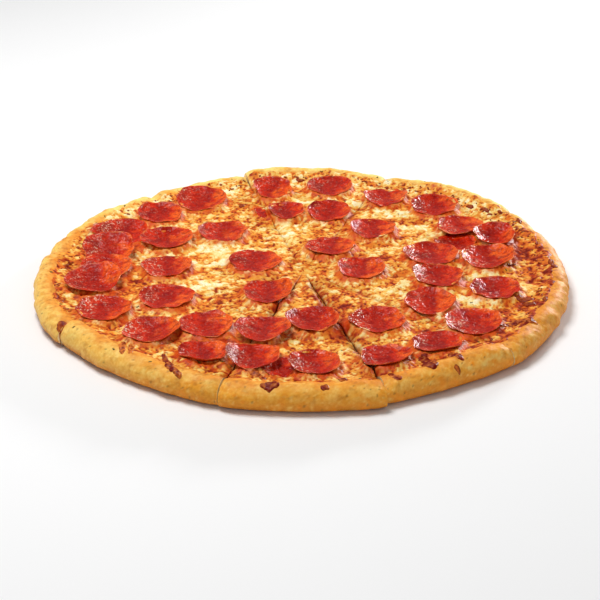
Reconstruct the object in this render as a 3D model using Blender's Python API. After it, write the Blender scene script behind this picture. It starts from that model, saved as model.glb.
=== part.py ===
"""Pepperoni pizza, 14 inches across, cut into ten slices that still lie together.

Each slice is a dough base with a raised rim, under its own layer of melted cheese. The
pepperoni lies on the cheese, cupped and curled by the oven, some of it over its neighbours.
Lengths are in metres. +Z is up, -Y is the front, and the origin is the middle of the
underside. Bearings are in degrees, anticlockwise from +X.
"""

import math
from collections import namedtuple

import bmesh
import bpy
from mathutils import Matrix, Vector, noise
from mathutils.bvhtree import BVHTree

MM = 0.001

# Whole pizza
PIZZA_REACH = 178 * MM
CUT_BEARINGS = (-107, -74.5, -44.5, -10, 30.5, 68.5, 105, 132, 170, 209.5)
TIP_RADIUS = 3.0 * MM

# Dough: a thin floor, and a rim round it
FLOOR_AT_TIP = 6.0 * MM
FLOOR_AT_RIM = 7.5 * MM
RIM_CREST = 16.5 * MM
BELLY_SHARE = 0.42
BASE_INSET = 6.5 * MM
CREST_INSET = 9.0 * MM
RIM_INNER_WIDTH = 20.0 * MM
RIM_LOWER_STEPS = 2
RIM_UPPER_STEPS = 3
RIM_INNER_STEPS = 4
COLUMNS = 9

# Where the rim meets a cut it is rounded off, and all along it is a little uneven
END_LENGTH = 9.0 * MM
END_DROP = 2.0 * MM
END_INSET = 1.6 * MM
RIM_UNEVEN = 0.9 * MM
RIM_UNEVEN_LENGTH = 26.0 * MM

# Cheese: follows the dough, thins out up the rim and at each cut
CHEESE_THICK = 3.9 * MM
CHEESE_THICK_AT_EDGE = 1.1 * MM
CHEESE_GAP = 0.5 * MM
CHEESE_RINGS = (0, 0.11, 0.22, 0.33, 0.44, 0.55, 0.66, 0.77, 0.87, 0.94, 1)
CHEESE_LUMPS = 0.8 * MM
CHEESE_LUMP_LENGTH = 24.0 * MM
CHEESE_CUT_DROP = 0.9 * MM
CHEESE_EDGE_WANDER = 1.6 * MM

# Pepperoni
PEPPERONI_THICK = 1.7 * MM
PEPPERONI_SIDES = 14
PEPPERONI_RINGS = (0.52, 0.8, 1.0)
PEPPERONI_GAP = 0.35 * MM
SUNK_IN_CHEESE = 0.9 * MM
STEEPEST = math.radians(20)

# One slice: its rim's reach and height above the usual, in millimetres, at its first cut,
# its middle and its second cut, and how far it has slid outwards.
SliceShape = namedtuple("SliceShape", "reach crest slide")
SLICES = (
    SliceShape(reach=(0.5, -0.5, 2.5), crest=(-0.5, 0.0, -0.5), slide=2.4),
    SliceShape(reach=(-1.0, -2.5, 1.5), crest=(-0.5, 0.0, 0.5), slide=2.8),
    SliceShape(reach=(2.0, 0.0, -0.5), crest=(0.0, 0.0, 0.5), slide=2.2),
    SliceShape(reach=(-0.5, -1.0, 0.5), crest=(0.0, -1.5, -0.5), slide=1.8),
    SliceShape(reach=(0.5, 1.0, -1.5), crest=(0.3, 0.3, -2.8), slide=2.0),
    SliceShape(reach=(-0.5, 1.0, -0.5), crest=(-2.5, 1.2, 2.2), slide=2.4),
    SliceShape(reach=(-1.0, -1.5, -1.0), crest=(-1.0, -1.8, -2.5), slide=2.2),
    SliceShape(reach=(-1.0, 0.8, 3.2), crest=(-1.0, 0.0, -0.8), slide=2.0),
    SliceShape(reach=(2.7, 3.4, 1.9), crest=(-1.0, 0.5, 0.0), slide=1.8),
    SliceShape(reach=(0.5, -4.0, -0.5), crest=(1.0, 0.0, 0.0), slide=2.0),
)

# One pepperoni slice. away and bearing place its middle; raised tips it up towards raised_to,
# beyond the slope of what it lies on; cup lifts its whole edge, curl the edge at curl_to,
# and fold its two opposite edges at fold_to. trim is the distance from its middle to a
# straight edge left by the knife, which faces trim_to. Millimetres and degrees.
Pepperoni = namedtuple(
    "Pepperoni",
    "away bearing width raised raised_to cup curl curl_to fold fold_to trim trim_to narrow",
    defaults=(0, 90, 2.0, 0, 0, 0, 0, 0, 0, 1.0),
)
# They lie in this order, so a later one rests on an earlier one.
TOPPINGS = (
    Pepperoni(34.9, 161.5, 35, cup=0.8),
    Pepperoni(46.1, -121.6, 33, cup=1.6, curl=4.0, curl_to=20),
    Pepperoni(82.6, 134.0, 35, cup=1.6, curl=1.5, curl_to=180),
    Pepperoni(92.4, 179.0, 34, cup=1.4, fold=1.6, fold_to=0),
    Pepperoni(38.8, -6.2, 33, cup=2.0, curl=1.5, curl_to=160),
    Pepperoni(37.5, 60.5, 33, cup=1.0, curl=2.5, curl_to=-100),
    Pepperoni(78.6, 50.9, 32, cup=1.6, curl=1.5, curl_to=170),
    Pepperoni(94.8, 78.5, 32, cup=2.2, raised=3),
    Pepperoni(95.5, 98.7, 30, cup=2.2, trim=8.5, trim_to=195),
    Pepperoni(138.6, 100.4, 33, raised=8, cup=2.0, trim=9.5, trim_to=195),
    Pepperoni(142.5, 81.7, 34, cup=2.0),
    Pepperoni(133.5, 62.7, 32, cup=1.6),
    Pepperoni(138.2, 46.1, 34, raised=4, cup=2.0),
    Pepperoni(127.7, 29.3, 33, cup=1.4),
    Pepperoni(139.0, 17.6, 30, cup=2.4, curl=2.0, curl_to=60),
    Pepperoni(88.5, 9.9, 37, cup=2.2, curl=1.5, curl_to=180),
    Pepperoni(124.9, 3.4, 36, cup=2.4, curl=3.0, curl_to=20),
    Pepperoni(90.7, -12.7, 34, cup=2.2, curl=2.0, curl_to=150),
    Pepperoni(100.0, -36.0, 33, raised=4, cup=2.2),
    Pepperoni(131.2, -18.2, 33, cup=2.0, curl=1.5, curl_to=0),
    Pepperoni(137.4, -39.8, 36, cup=2.0, fold=1.5, fold_to=10),
    Pepperoni(142.0, -55.0, 33, cup=1.8, curl=3.6, curl_to=-75),
    Pepperoni(95.1, -61.3, 34, cup=2.2, raised=2),
    Pepperoni(141.4, -69.8, 32, cup=1.8, curl=3.4, curl_to=-70),
    Pepperoni(82.3, -86.7, 34, cup=3.2),
    Pepperoni(101.0, -104.8, 35, cup=2.0, fold=3.0, fold_to=175),
    Pepperoni(142.4, -87.9, 32, cup=2.6),
    Pepperoni(136.0, -103.0, 32, cup=1.8, curl=6.0, curl_to=175),
    Pepperoni(138.9, -116.4, 31, cup=1.8, curl=3.6, curl_to=-95),
    Pepperoni(106.7, -125.3, 34, cup=2.0, raised=2),
    Pepperoni(135.2, -135.0, 36, cup=3.4, curl=1.5, curl_to=-20),
    Pepperoni(99.7, -153.4, 36, cup=1.6),
    Pepperoni(143.2, -153.5, 36, cup=2.8),
    Pepperoni(140.0, 122.4, 37, raised=5, cup=2.0),
    Pepperoni(138.5, 138.6, 33, raised=5, raised_to=130, cup=2.4),
    Pepperoni(139.0, 155.2, 34, raised=7, raised_to=110, cup=1.8),
    Pepperoni(106.2, 154.4, 36, cup=2.0, fold=1.2, fold_to=0),
    Pepperoni(137.0, 168.8, 36, raised=12, raised_to=100, cup=1.8),
    Pepperoni(133.0, 180.4, 36, cup=1.2),
    Pepperoni(141.0, -170.5, 37, cup=2.2, fold=2.0, fold_to=45),
)
# These show only in part, sunk in the cheese of a slice and part of its body: one cut off
# by the knife, and three with most of their width under a neighbour.
SunkPepperoni = namedtuple("SunkPepperoni", "slice_index topping")
SUNK_TOPPINGS = (
    SunkPepperoni(6, Pepperoni(103, 107.6, 25, cup=0.4, narrow=0.28)),
    SunkPepperoni(7, Pepperoni(154, 156.5, 20, raised=10, raised_to=157, cup=0.6)),
    SunkPepperoni(0, Pepperoni(142, -95.6, 26, cup=0.8)),
    SunkPepperoni(3, Pepperoni(113, 20.5, 30, cup=0.6)),
)


def clear_scene():
    for obj in list(bpy.data.objects):
        bpy.data.objects.remove(obj, do_unlink=True)


def make_material(name, colour, roughness, coat=0.0):
    material = bpy.data.materials.new(name)
    material.use_nodes = True
    shader = material.node_tree.nodes["Principled BSDF"]
    shader.inputs["Base Color"].default_value = (*colour, 1)
    shader.inputs["Roughness"].default_value = roughness
    shader.inputs["Metallic"].default_value = 0.0
    shader.inputs["Coat Weight"].default_value = coat
    material.diffuse_color = (*colour, 1)
    return material


def add_object(name, mesh, material):
    obj = bpy.data.objects.new(name, mesh)
    bpy.context.scene.collection.objects.link(obj)
    mesh.materials.append(material)
    return obj


def through(values, share):
    """The parabola through three values, at shares 0, a half and 1."""
    first, middle, last = values
    rise = last - first
    bulge = 4 * (middle - (first + last) / 2)
    return first + rise * share + bulge * share * (1 - share)


def polar(radius, bearing, height=0.0):
    angle = math.radians(bearing)
    return Vector((radius * math.cos(angle), radius * math.sin(angle), height))


def wander(point, length, size, seed):
    """A smooth random height at a point, the same each time, between minus and plus size."""
    return size * noise.noise(Vector((point.x / length, point.y / length, seed)))


class Wedge:
    """The place and the rim of one slice, measured in its own bearings."""

    def __init__(self, index):
        self.index = index
        self.shape = SLICES[index]
        self.start = CUT_BEARINGS[index]
        self.end = CUT_BEARINGS[(index + 1) % len(CUT_BEARINGS)]
        if self.end < self.start:
            self.end += 360
        self.slide = polar(self.shape.slide * MM, (self.start + self.end) / 2)

    def bearings(self):
        """Closer together near the cuts, where the rim rounds off."""
        shares = [0.5 - 0.5 * math.cos(math.pi * i / COLUMNS) for i in range(COLUMNS + 1)]
        return [self.start + (self.end - self.start) * share for share in shares]

    def rim_at(self, bearing):
        """The rim's reach from the slice's tip, and its crest's height."""
        share = (bearing - self.start) / (self.end - self.start)
        from_start = math.radians(bearing - self.start) * PIZZA_REACH
        from_end = math.radians(self.end - bearing) * PIZZA_REACH
        end_share = max(0.0, 1 - min(from_start, from_end) / END_LENGTH) ** 2
        spot = polar(PIZZA_REACH, bearing)
        reach = PIZZA_REACH + through(self.shape.reach, share) * MM - END_INSET * end_share
        reach += wander(spot, RIM_UNEVEN_LENGTH, RIM_UNEVEN, 1) - self.shape.slide * MM
        crest = RIM_CREST + through(self.shape.crest, share) * MM - END_DROP * end_share
        crest += wander(spot, RIM_UNEVEN_LENGTH, RIM_UNEVEN, 5)
        return reach, crest


def rim_inner_side(reach, crest):
    """From the crest down to the floor, as (radius, height)."""
    points = []
    for i in range(1, RIM_INNER_STEPS + 1):
        share = i / RIM_INNER_STEPS
        fall = 0.5 - 0.5 * math.cos(math.pi * share)
        radius = reach - CREST_INSET - RIM_INNER_WIDTH * share
        points.append((radius, crest + (FLOOR_AT_RIM - crest) * fall))
    return points


def dough_top(reach, crest):
    """The dough's upper side, from the crest to the tip."""
    foot = rim_inner_side(reach, crest)
    middle = ((foot[-1][0] + TIP_RADIUS) / 2, (FLOOR_AT_TIP + FLOOR_AT_RIM) / 2)
    crest_point = (reach - CREST_INSET, crest)
    return [crest_point, *foot, middle, (TIP_RADIUS, FLOOR_AT_TIP)]


def dough_outline(reach, crest):
    """The dough's whole section: underside, outer side, and upper side back to the tip."""
    belly = crest * BELLY_SHARE
    points = [(TIP_RADIUS, 0.0)]
    for i in range(RIM_LOWER_STEPS + 1):
        angle = math.pi / 2 * i / RIM_LOWER_STEPS
        points.append((reach - BASE_INSET + BASE_INSET * math.sin(angle), belly - belly * math.cos(angle)))
    for i in range(1, RIM_UPPER_STEPS):
        angle = math.pi / 2 * i / RIM_UPPER_STEPS
        radius = reach - CREST_INSET + CREST_INSET * math.cos(angle)
        points.append((radius, belly + (crest - belly) * math.sin(angle)))
    return points + dough_top(reach, crest)


def height_at(outline, radius):
    """The height of a section's upper side, given from the crest inwards, at a radius."""
    for (outer, high), (inner, low) in zip(outline, outline[1:]):
        if inner <= radius <= outer:
            share = (outer - radius) / (outer - inner)
            return high + (low - high) * share
    return outline[-1][1]


def cheese_outline(wedge, bearing):
    """The cheese's section: its upper side from tip to edge, then its underside back."""
    reach, crest = wedge.rim_at(bearing)
    dough = dough_top(reach, crest)
    on_rim = polar(PIZZA_REACH, bearing)
    edge = dough[1][0] + wander(on_rim, CHEESE_LUMP_LENGTH, CHEESE_EDGE_WANDER, 9)
    points = []
    for share in CHEESE_RINGS:
        radius = TIP_RADIUS + (edge - TIP_RADIUS) * share
        to_cut = min(bearing - wedge.start, wedge.end - bearing)
        at_cut = max(0.0, 1 - math.radians(to_cut) * radius / (3 * MM))
        thin = max(0.0, (share - 0.8) / 0.2)
        thick = CHEESE_THICK + (CHEESE_THICK_AT_EDGE - CHEESE_THICK) * thin**2
        lump = wander(polar(radius, bearing), CHEESE_LUMP_LENGTH, CHEESE_LUMPS, 3) * (1 - thin)
        drop = CHEESE_CUT_DROP * at_cut * (1 - thin)
        points.append((radius, height_at(dough, radius) + CHEESE_GAP + thick + lump - drop))
    points.append((edge, height_at(dough, edge) + CHEESE_GAP))
    for radius, height in dough[2:]:
        points.append((radius, height + CHEESE_GAP))
    return points


def solid_through(name, sections):
    """A closed mesh through equal sections, each a closed loop of points, capped at both ends.

    Every square between two sections is halved the same way, so that two solids with the
    same points on a shared side lie flat on each other.
    """
    count = len(sections[0])
    mesh_edit = bmesh.new()
    rows = [[mesh_edit.verts.new(point) for point in section] for section in sections]
    for row, following in zip(rows, rows[1:]):
        for i in range(count):
            j = (i + 1) % count
            mesh_edit.faces.new((row[i], row[j], following[j]))
            mesh_edit.faces.new((row[i], following[j], following[i]))
    mesh_edit.faces.new(reversed(rows[0]))
    mesh_edit.faces.new(rows[-1])
    bmesh.ops.recalc_face_normals(mesh_edit, faces=mesh_edit.faces)
    mesh = bpy.data.meshes.new(name)
    mesh_edit.to_mesh(mesh)
    mesh_edit.free()
    mesh.shade_smooth()
    mesh.set_sharp_from_angle(angle=math.radians(50))
    return mesh


def make_dough(wedge, material):
    sections = []
    for bearing in wedge.bearings():
        outline = dough_outline(*wedge.rim_at(bearing))
        sections.append([polar(radius, bearing, height) for radius, height in outline])
    name = f"dough_{wedge.index + 1:02d}"
    dough = add_object(name, solid_through(name, sections), material)
    dough.location = wedge.slide
    return dough


def make_cheese(wedge, material):
    sections = []
    for bearing in wedge.bearings():
        outline = cheese_outline(wedge, bearing)
        sections.append([polar(radius, bearing, height) for radius, height in outline])
    name = f"cheese_{wedge.index + 1:02d}"
    cheese = add_object(name, solid_through(name, sections), material)
    cheese.location = wedge.slide
    return cheese


class Pile:
    """What lies there already, for a new piece to settle on."""

    def __init__(self):
        self.layers = []

    def add(self, obj):
        bpy.context.view_layer.update()
        points = [obj.matrix_world @ vertex.co for vertex in obj.data.vertices]
        obj.data.calc_loop_triangles()
        faces = [tuple(triangle.vertices) for triangle in obj.data.loop_triangles]
        ridge = list(points)
        for edge in obj.data.edges:
            a, b = (points[i] for i in edge.vertices)
            steps = int((b - a).length / (1.5 * MM))
            ridge += [a.lerp(b, i / (steps + 1)) for i in range(1, steps + 1)]
        self.layers.append((BVHTree.FromPolygons(points, faces), ridge))

    def height(self, x, y):
        """The highest surface at a spot, or None beside the pile."""
        hits = [tree.ray_cast(Vector((x, y, 1.0)), Vector((0, 0, -1)))[0] for tree, _ in self.layers]
        heights = [hit.z for hit in hits if hit is not None]
        return max(heights) if heights else None

    def clearance(self, points, faces):
        """The least height of a piece above the pile, from the piece's points and from the pile's."""
        least = math.inf
        for point in points:
            below = self.height(point.x, point.y)
            if below is not None:
                least = min(least, point.z - below)
        tree = BVHTree.FromPolygons(points, faces)
        middle = sum(points, Vector()) / len(points)
        span = max((point - middle).to_2d().length for point in points)
        for _, ridge in self.layers:
            for spot in ridge:
                if (spot - middle).to_2d().length > span:
                    continue
                hit = tree.ray_cast(Vector((spot.x, spot.y, -1.0)), Vector((0, 0, 1)))[0]
                if hit is not None:
                    least = min(least, hit.z - spot.z)
        return least

    def slope(self, x, y, radius):
        """The upward direction of the plane that fits the pile best around a spot."""
        rows = []
        for ring in (0.35, 0.7, 0.95):
            for i in range(12):
                offset = polar(ring * radius, 30 * i)
                height = self.height(x + offset.x, y + offset.y)
                if height is not None:
                    rows.append((offset.x, offset.y, height))
        mean = [sum(column) / len(rows) for column in zip(*rows)]
        moments = [[sum((r[a] - mean[a]) * (r[b] - mean[b]) for r in rows) for b in range(3)] for a in range(2)]
        (xx, xy, xz), (_, yy, yz) = moments
        share = xx * yy - xy * xy
        return Vector(((xy * yz - yy * xz) / share, (xy * xz - xx * yz) / share, 1)).normalized()


def edge_lift(topping, share, angle):
    """How far a spot of a pepperoni slice is raised by its cup, its curl and its fold."""
    to_curl = max(0.0, math.cos(angle - math.radians(topping.curl_to)))
    to_fold = math.cos(2 * (angle - math.radians(topping.fold_to)))
    lift = topping.cup * share**2.6
    lift += topping.curl * share**3 * to_curl**3
    lift += topping.fold * share**2 * max(0.0, to_fold)
    return lift * MM


def edge_radius(topping, angle):
    """A pepperoni slice's radius, cut short where the knife went through it."""
    radius = topping.width / 2
    turned = angle - math.radians(topping.bearing)
    radius *= topping.narrow / math.hypot(topping.narrow * math.cos(turned), math.sin(turned))
    toward = math.cos(angle - math.radians(topping.trim_to))
    if topping.trim and toward * radius > topping.trim:
        radius = topping.trim / toward
    return radius * MM


def pepperoni_mesh(name, topping):
    """A thin disc in rings of points, upper side and underside alike."""
    mesh_edit = bmesh.new()
    sides = []
    for thickness in (PEPPERONI_THICK, 0.0):
        centre = mesh_edit.verts.new((0, 0, thickness))
        rings = []
        for share in PEPPERONI_RINGS:
            ring = []
            for i in range(PEPPERONI_SIDES):
                angle = 2 * math.pi * i / PEPPERONI_SIDES
                flat = polar(edge_radius(topping, angle) * share, math.degrees(angle))
                height = edge_lift(topping, share, angle) + thickness
                ring.append(mesh_edit.verts.new((flat.x, flat.y, height)))
            rings.append(ring)
        sides.append((centre, rings))
    for centre, rings in sides:
        for i in range(PEPPERONI_SIDES):
            j = (i + 1) % PEPPERONI_SIDES
            mesh_edit.faces.new((centre, rings[0][i], rings[0][j]))
            for inner, outer in zip(rings, rings[1:]):
                mesh_edit.faces.new((inner[i], outer[i], outer[j]))
                mesh_edit.faces.new((inner[i], outer[j], inner[j]))
    upper, lower = (rings[-1] for _, rings in sides)
    for i in range(PEPPERONI_SIDES):
        j = (i + 1) % PEPPERONI_SIDES
        mesh_edit.faces.new((upper[i], lower[i], lower[j]))
        mesh_edit.faces.new((upper[i], lower[j], upper[j]))
    bmesh.ops.recalc_face_normals(mesh_edit, faces=mesh_edit.faces)
    mesh = bpy.data.meshes.new(name)
    mesh_edit.to_mesh(mesh)
    mesh_edit.free()
    mesh.shade_smooth()
    mesh.set_sharp_from_angle(angle=math.radians(50))
    return mesh


def placed_shape(obj):
    """An object's points where they lie now, and its faces."""
    bpy.context.view_layer.update()
    points = [obj.matrix_world @ vertex.co for vertex in obj.data.vertices]
    faces = [tuple(polygon.vertices) for polygon in obj.data.polygons]
    return points, faces


def settle(obj, topping, pile, sink=0.0):
    """Turns a slice of pepperoni to the slope below it and sets it down."""
    spot = polar(topping.away * MM, topping.bearing)
    up = pile.slope(spot.x, spot.y, topping.width / 2 * MM)
    steep = min(Vector((0, 0, 1)).angle(up), STEEPEST)
    axis = Vector((0, 0, 1)).cross(up)
    turn = Matrix.Rotation(steep, 3, axis) if axis.length > 1e-6 else Matrix.Identity(3)
    hinge = polar(1, topping.raised_to - 90)
    turn = Matrix.Rotation(math.radians(topping.raised), 3, hinge) @ turn
    obj.rotation_euler = turn.to_euler()
    obj.location = spot
    points, faces = placed_shape(obj)
    obj.location.z = PEPPERONI_GAP - sink - pile.clearance(points, faces)
    return obj


def make_pepperoni(index, topping, pile, material):
    name = f"pepperoni_{index:02d}"
    obj = settle(add_object(name, pepperoni_mesh(name, topping), material), topping, pile)
    pile.add(obj)
    return obj


def fuse(cheese, piece):
    """Joins a sunk piece to the cheese that holds it, and drops the piece's own object."""
    union = cheese.modifiers.new("sunk pepperoni", "BOOLEAN")
    union.operation = "UNION"
    union.object = piece
    bpy.context.view_layer.update()
    joined = bpy.data.meshes.new_from_object(cheese.evaluated_get(bpy.context.evaluated_depsgraph_get()))
    joined.set_sharp_from_angle(angle=math.radians(50))
    cheese.modifiers.remove(union)
    cheese.data = joined
    bpy.data.objects.remove(piece, do_unlink=True)


def sink_pepperoni(sunk, cheeses, material):
    """Sets a piece partly into one slice's cheese, clear of the dough below."""
    bed = Pile()
    bed.add(cheeses[sunk.slice_index])
    piece = add_object("sunk", pepperoni_mesh("sunk", sunk.topping), material)
    settle(piece, sunk.topping, bed, SUNK_IN_CHEESE + PEPPERONI_GAP)
    fuse(cheeses[sunk.slice_index], piece)


def centre_on_origin(objects):
    """Moves the whole pizza so that its box has its middle over the origin."""
    bpy.context.view_layer.update()
    corners = [obj.matrix_world @ Vector(corner) for obj in objects for corner in obj.bound_box]
    middle_x = (min(c.x for c in corners) + max(c.x for c in corners)) / 2
    middle_y = (min(c.y for c in corners) + max(c.y for c in corners)) / 2
    for obj in objects:
        obj.location -= Vector((middle_x, middle_y, 0))


def main():
    clear_scene()
    crust = make_material("baked_dough", (0.80, 0.50, 0.17), 0.6)
    melt = make_material("melted_cheese", (0.95, 0.70, 0.30), 0.35, coat=0.2)
    meat = make_material("pepperoni", (0.50, 0.05, 0.03), 0.3, coat=0.4)
    wedges = [Wedge(index) for index in range(len(SLICES))]
    doughs = [make_dough(wedge, crust) for wedge in wedges]
    cheeses = [make_cheese(wedge, melt) for wedge in wedges]
    for sunk in SUNK_TOPPINGS:
        sink_pepperoni(sunk, cheeses, meat)
    pile = Pile()
    for obj in doughs + cheeses:
        pile.add(obj)
    toppings = [make_pepperoni(i, topping, pile, meat) for i, topping in enumerate(TOPPINGS, 1)]
    centre_on_origin(doughs + cheeses + toppings)


main()
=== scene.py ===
"""Looks of the pepperoni pizza: baked dough, melted cheese and oily pepperoni.

Each slice's dough and cheese and each pepperoni slice is modelled again at full detail from
the solid that it replaces. Lengths are in metres unless a name says millimetres. +Z is up,
-Y is the side nearest the camera, and bearings are in degrees, anticlockwise from +X.
"""

import math
from collections import namedtuple

import bpy
import numpy as np
from mathutils import Matrix, Vector
from mathutils.bvhtree import BVHTree


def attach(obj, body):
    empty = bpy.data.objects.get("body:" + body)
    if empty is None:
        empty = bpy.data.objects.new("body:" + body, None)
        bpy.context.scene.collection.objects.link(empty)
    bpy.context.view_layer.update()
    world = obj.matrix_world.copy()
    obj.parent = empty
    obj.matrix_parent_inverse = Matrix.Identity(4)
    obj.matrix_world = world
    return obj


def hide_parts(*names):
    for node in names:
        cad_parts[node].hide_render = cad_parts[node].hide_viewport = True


MM = 0.001
SLICE_COUNT = 10
PEPPERONI_COUNT = 40

# Camera, as the photo was taken: over the front edge, slightly rolled
VIEW_ELEVATION = math.radians(25.55)
VIEW_DISTANCE = 1.1
VIEW_ROLL = math.radians(-0.79)
LENS_MM = 97.2
SENSOR_MM = 36
LENS_SHIFT = (-0.0065, -0.0263)

# Dough
TIP_RADIUS = 3.0 * MM
TIP_REACH = 7.0 * MM
CREST_INSET = 9.0 * MM
FLOOR_ABOVE = 130 * MM
PROFILE_POINTS = 12
RIM_FIRST_POINT = 1
RIM_LAST_POINT = 10
CREST_POINT = 6
CHEESE_EDGE_POINT = 7
UNDERSIDE = 0.01 * MM
TIP_WITHIN = 15 * MM
DOUGH_STEP = 1.1 * MM
# How much closer the dough's columns stand at the cuts than between them
CUT_CROWDING = 0.055
TABLE_REACH = 176 * MM
TABLE_RADII = 340
RIM_ROWS = 56
DOUGH_LUMPS = 1.0 * MM
DOUGH_WRINKLES = 0.3 * MM

# Cheese
CHEESE_STEP = 0.62 * MM
CHEESE_TIP = 0.5 * MM
THINNEST_CHEESE = 0.35 * MM
CHEESE_RUN = 0.8 * MM
EDGE_WANDER = 3.2 * MM
EDGE_POINTS = 120
SKIRT_STEPS = 3
# How deep the cut sides and the rim of the cheese go into the dough, how thick it is at least
# there, and how far it may go into the pepperoni that lies on it
SKIRT_SINK = 0.3 * MM
CHEESE_SINK = 0.12 * MM
LEAST_CHEESE = 0.1 * MM
CONTACT_OVERLAP = 0.15 * MM
FLUSH_DEPTH = 0.1 * MM
OVERLAP_HEIGHT = 0.35 * MM
MOST_CLIMB = 2.0 * MM
FRONT_CLIMB = 0.9
SHRED_COUNT = 5600
PUDDLE_COUNT = 1700
TOAST_COUNT = 5200
SHRED_SOFTNESS = 0.30 * MM
CHEESE_REACH = 165 * MM
SOLID_CHEESE_REACH = 168 * MM
# Hollows of three sizes: how far apart, random seed, how many of the places have one, and
# its radius as a share of the distance
PITS = ((3.4, 351, 0.55, 0.30), (5.5, 352, 0.45, 0.26), (2.2, 353, 0.35, 0.32))
# Widths over which maps of the cheese and of the discs on it are softened
HEAP_BLUR = 2.6 * MM
HOLE_BLUR = 9 * MM
CHEESE_BLUR = 2.2 * MM
NEAR_BLUR = 2.0 * MM
STEP_BLUR = 3 * MM
SPREAD_BLUR = 3.6 * MM
LIFT_BLUR = 0.9 * MM
HALO_BLUR = 5.5 * MM

# Small patches: how deep their edge goes into what they lie on, their least radius as a
# share of the usual one, their numbers and their heights
PATCH_SINK = 0.15 * MM
LEAST_RAGGED = 0.35
RIM_CRUMB_COUNT = 150
HERB_COUNT = 110
BURN_HEIGHT = 1.0 * MM
CRUMB_HEIGHT = 0.7 * MM
HERB_HEIGHT = 0.25 * MM

# Pepperoni
PEPPERONI_THICK = 1.2 * MM
PEPPERONI_RIM_THICK = 0.5 * MM
# How far the two sides of a slice stand up from its middle, beyond the solid's own cup
FOLD_RISE = 1.5 * MM
PEPPERONI_SIDES = 84
PEPPERONI_RINGS = 22
UNDER_RINGS = 4
LIP_STARTS = 0.985
# Sunk pieces: degrees between the spots read from the solid, how far the top stands over it,
# and where their random seeds start
SUNK_SAMPLES_TURN = 30
SUNK_LIFT = 0.2 * MM
SUNK_SEED = 60

# How each cut looks, cut i lying between slices i and i + 1 and the last before the first:
# its width in the middle, how much the width wanders, and how far the cheese has sunk beside
# it, all in millimetres. Narrow ones have melted together in places.
Cut = namedtuple("Cut", "width wander sag")
CUTS = (
    Cut(0.7, 0.5, 1.3),
    Cut(0.9, 0.6, 2.0),
    Cut(0.3, 0.4, 0.8),
    Cut(0.0, 0.3, 0.4),
    Cut(-0.1, 0.2, 0.2),
    Cut(0.1, 0.4, 0.6),
    Cut(0.4, 0.3, 0.5),
    Cut(-0.1, 0.2, 0.2),
    Cut(0.0, 0.3, 0.3),
    Cut(0.1, 0.3, 0.5),
)
SOLID_GAP = 1.2 * MM
# How far the cheese runs up the rim on each slice, beyond the solid's edge, in millimetres.
RUN_UPS = (0.0, 0.5, 3.0, 4.5, 3.0, 2.0, 1.0, 1.0, 1.0, 0.0)

# Pieces sunk in a slice's cheese, as the solids have them: slice, middle, width along its
# bearing, and the width across as a share of that.
Sunk = namedtuple("Sunk", "slice_number away bearing width narrow")
SUNK_PIECES = (
    Sunk(7, 103, 107.6, 25, 0.28),
    Sunk(8, 154, 156.5, 20, 1.0),
    Sunk(1, 142, -95.6, 26, 1.0),
    Sunk(4, 113, 20.5, 30, 1.0),
)

# A mark on the pizza: its middle, its length along a direction in degrees, its width across
# it, that direction, and its strength. Lengths here are in millimetres.
Mark = namedtuple("Mark", "away bearing length width along strength", defaults=(0, 1.0))


def mark_rows(*rows):
    return [Mark(*row) for row in rows]


# Browned cheese that ran over the rim: how light each run is, its height, and the places that
# it passes, with its width there.
Run = namedtuple("Run", "light height path")
RUNS = (
    Run(0.9, 0.8, ((157, -135.2, 4), (163.5, -132.8, 4.2), (168.5, -130.8, 3.2))),
    Run(0.9, 0.7, ((156, -133.0, 4), (161.5, -130.8, 3.8), (166.5, -129.3, 2.8))),
    Run(
        0.25, 1.2,
        ((148.5, -125.5, 3), (158.4, -121.7, 4), (165.3, -119, 4.8), (172.2, -115.1, 4)),
    ),
    Run(0.5, 0.9, ((150, -104.2, 4), (152, -102, 5), (156, -99.8, 4.2), (163, -98.5, 4))),
    Run(0.1, 1.3, ((170.4, -99.0, 5), (170.6, -96.9, 7), (169.6, -95, 5.5))),
    Run(0.3, 0.9, ((173, -87.1, 4), (171.4, -85.4, 5))),
    Run(0.4, 0.9, ((165.6, -83.2, 4.5), (162, -81.4, 4))),
    Run(0.5, 0.8, ((162, -72.1, 3.5), (168, -71.7, 4.4), (171, -70.6, 3.6))),
    Run(0.15, 1.6, ((148, -61.6, 5), (157, -62.6, 7), (165, -63.1, 8), (170.5, -63.2, 7))),
    Run(0.3, 1.0, ((160, -57.6, 4.5), (165.9, -56.5, 5), (170.7, -56.3, 4))),
    Run(0.4, 0.7, ((171.2, -58.9, 2.6), (173.5, -58.5, 3.2), (175, -58.2, 2.6))),
    Run(0.35, 1.5, ((154, -38.5, 4), (157.2, -35.4, 5), (161, -34.0, 5.2), (173, -32.8, 4.6))),
    Run(0.5, 1.0, ((172, -151.8, 5), (175.5, -151.0, 7), (177.5, -150.8, 6))),
    Run(0.6, 0.8, ((163, -163.4, 3), (166.5, -161.2, 3.4))),
    Run(0.6, 0.8, ((162, -156.5, 4), (167, -157.6, 3.2))),
    Run(0.6, 0.8, ((163.5, -171.5, 3), (166, -169.0, 3.4))),
)
RUN_STEP = 0.5 * MM
RUN_ACROSS = 11
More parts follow.
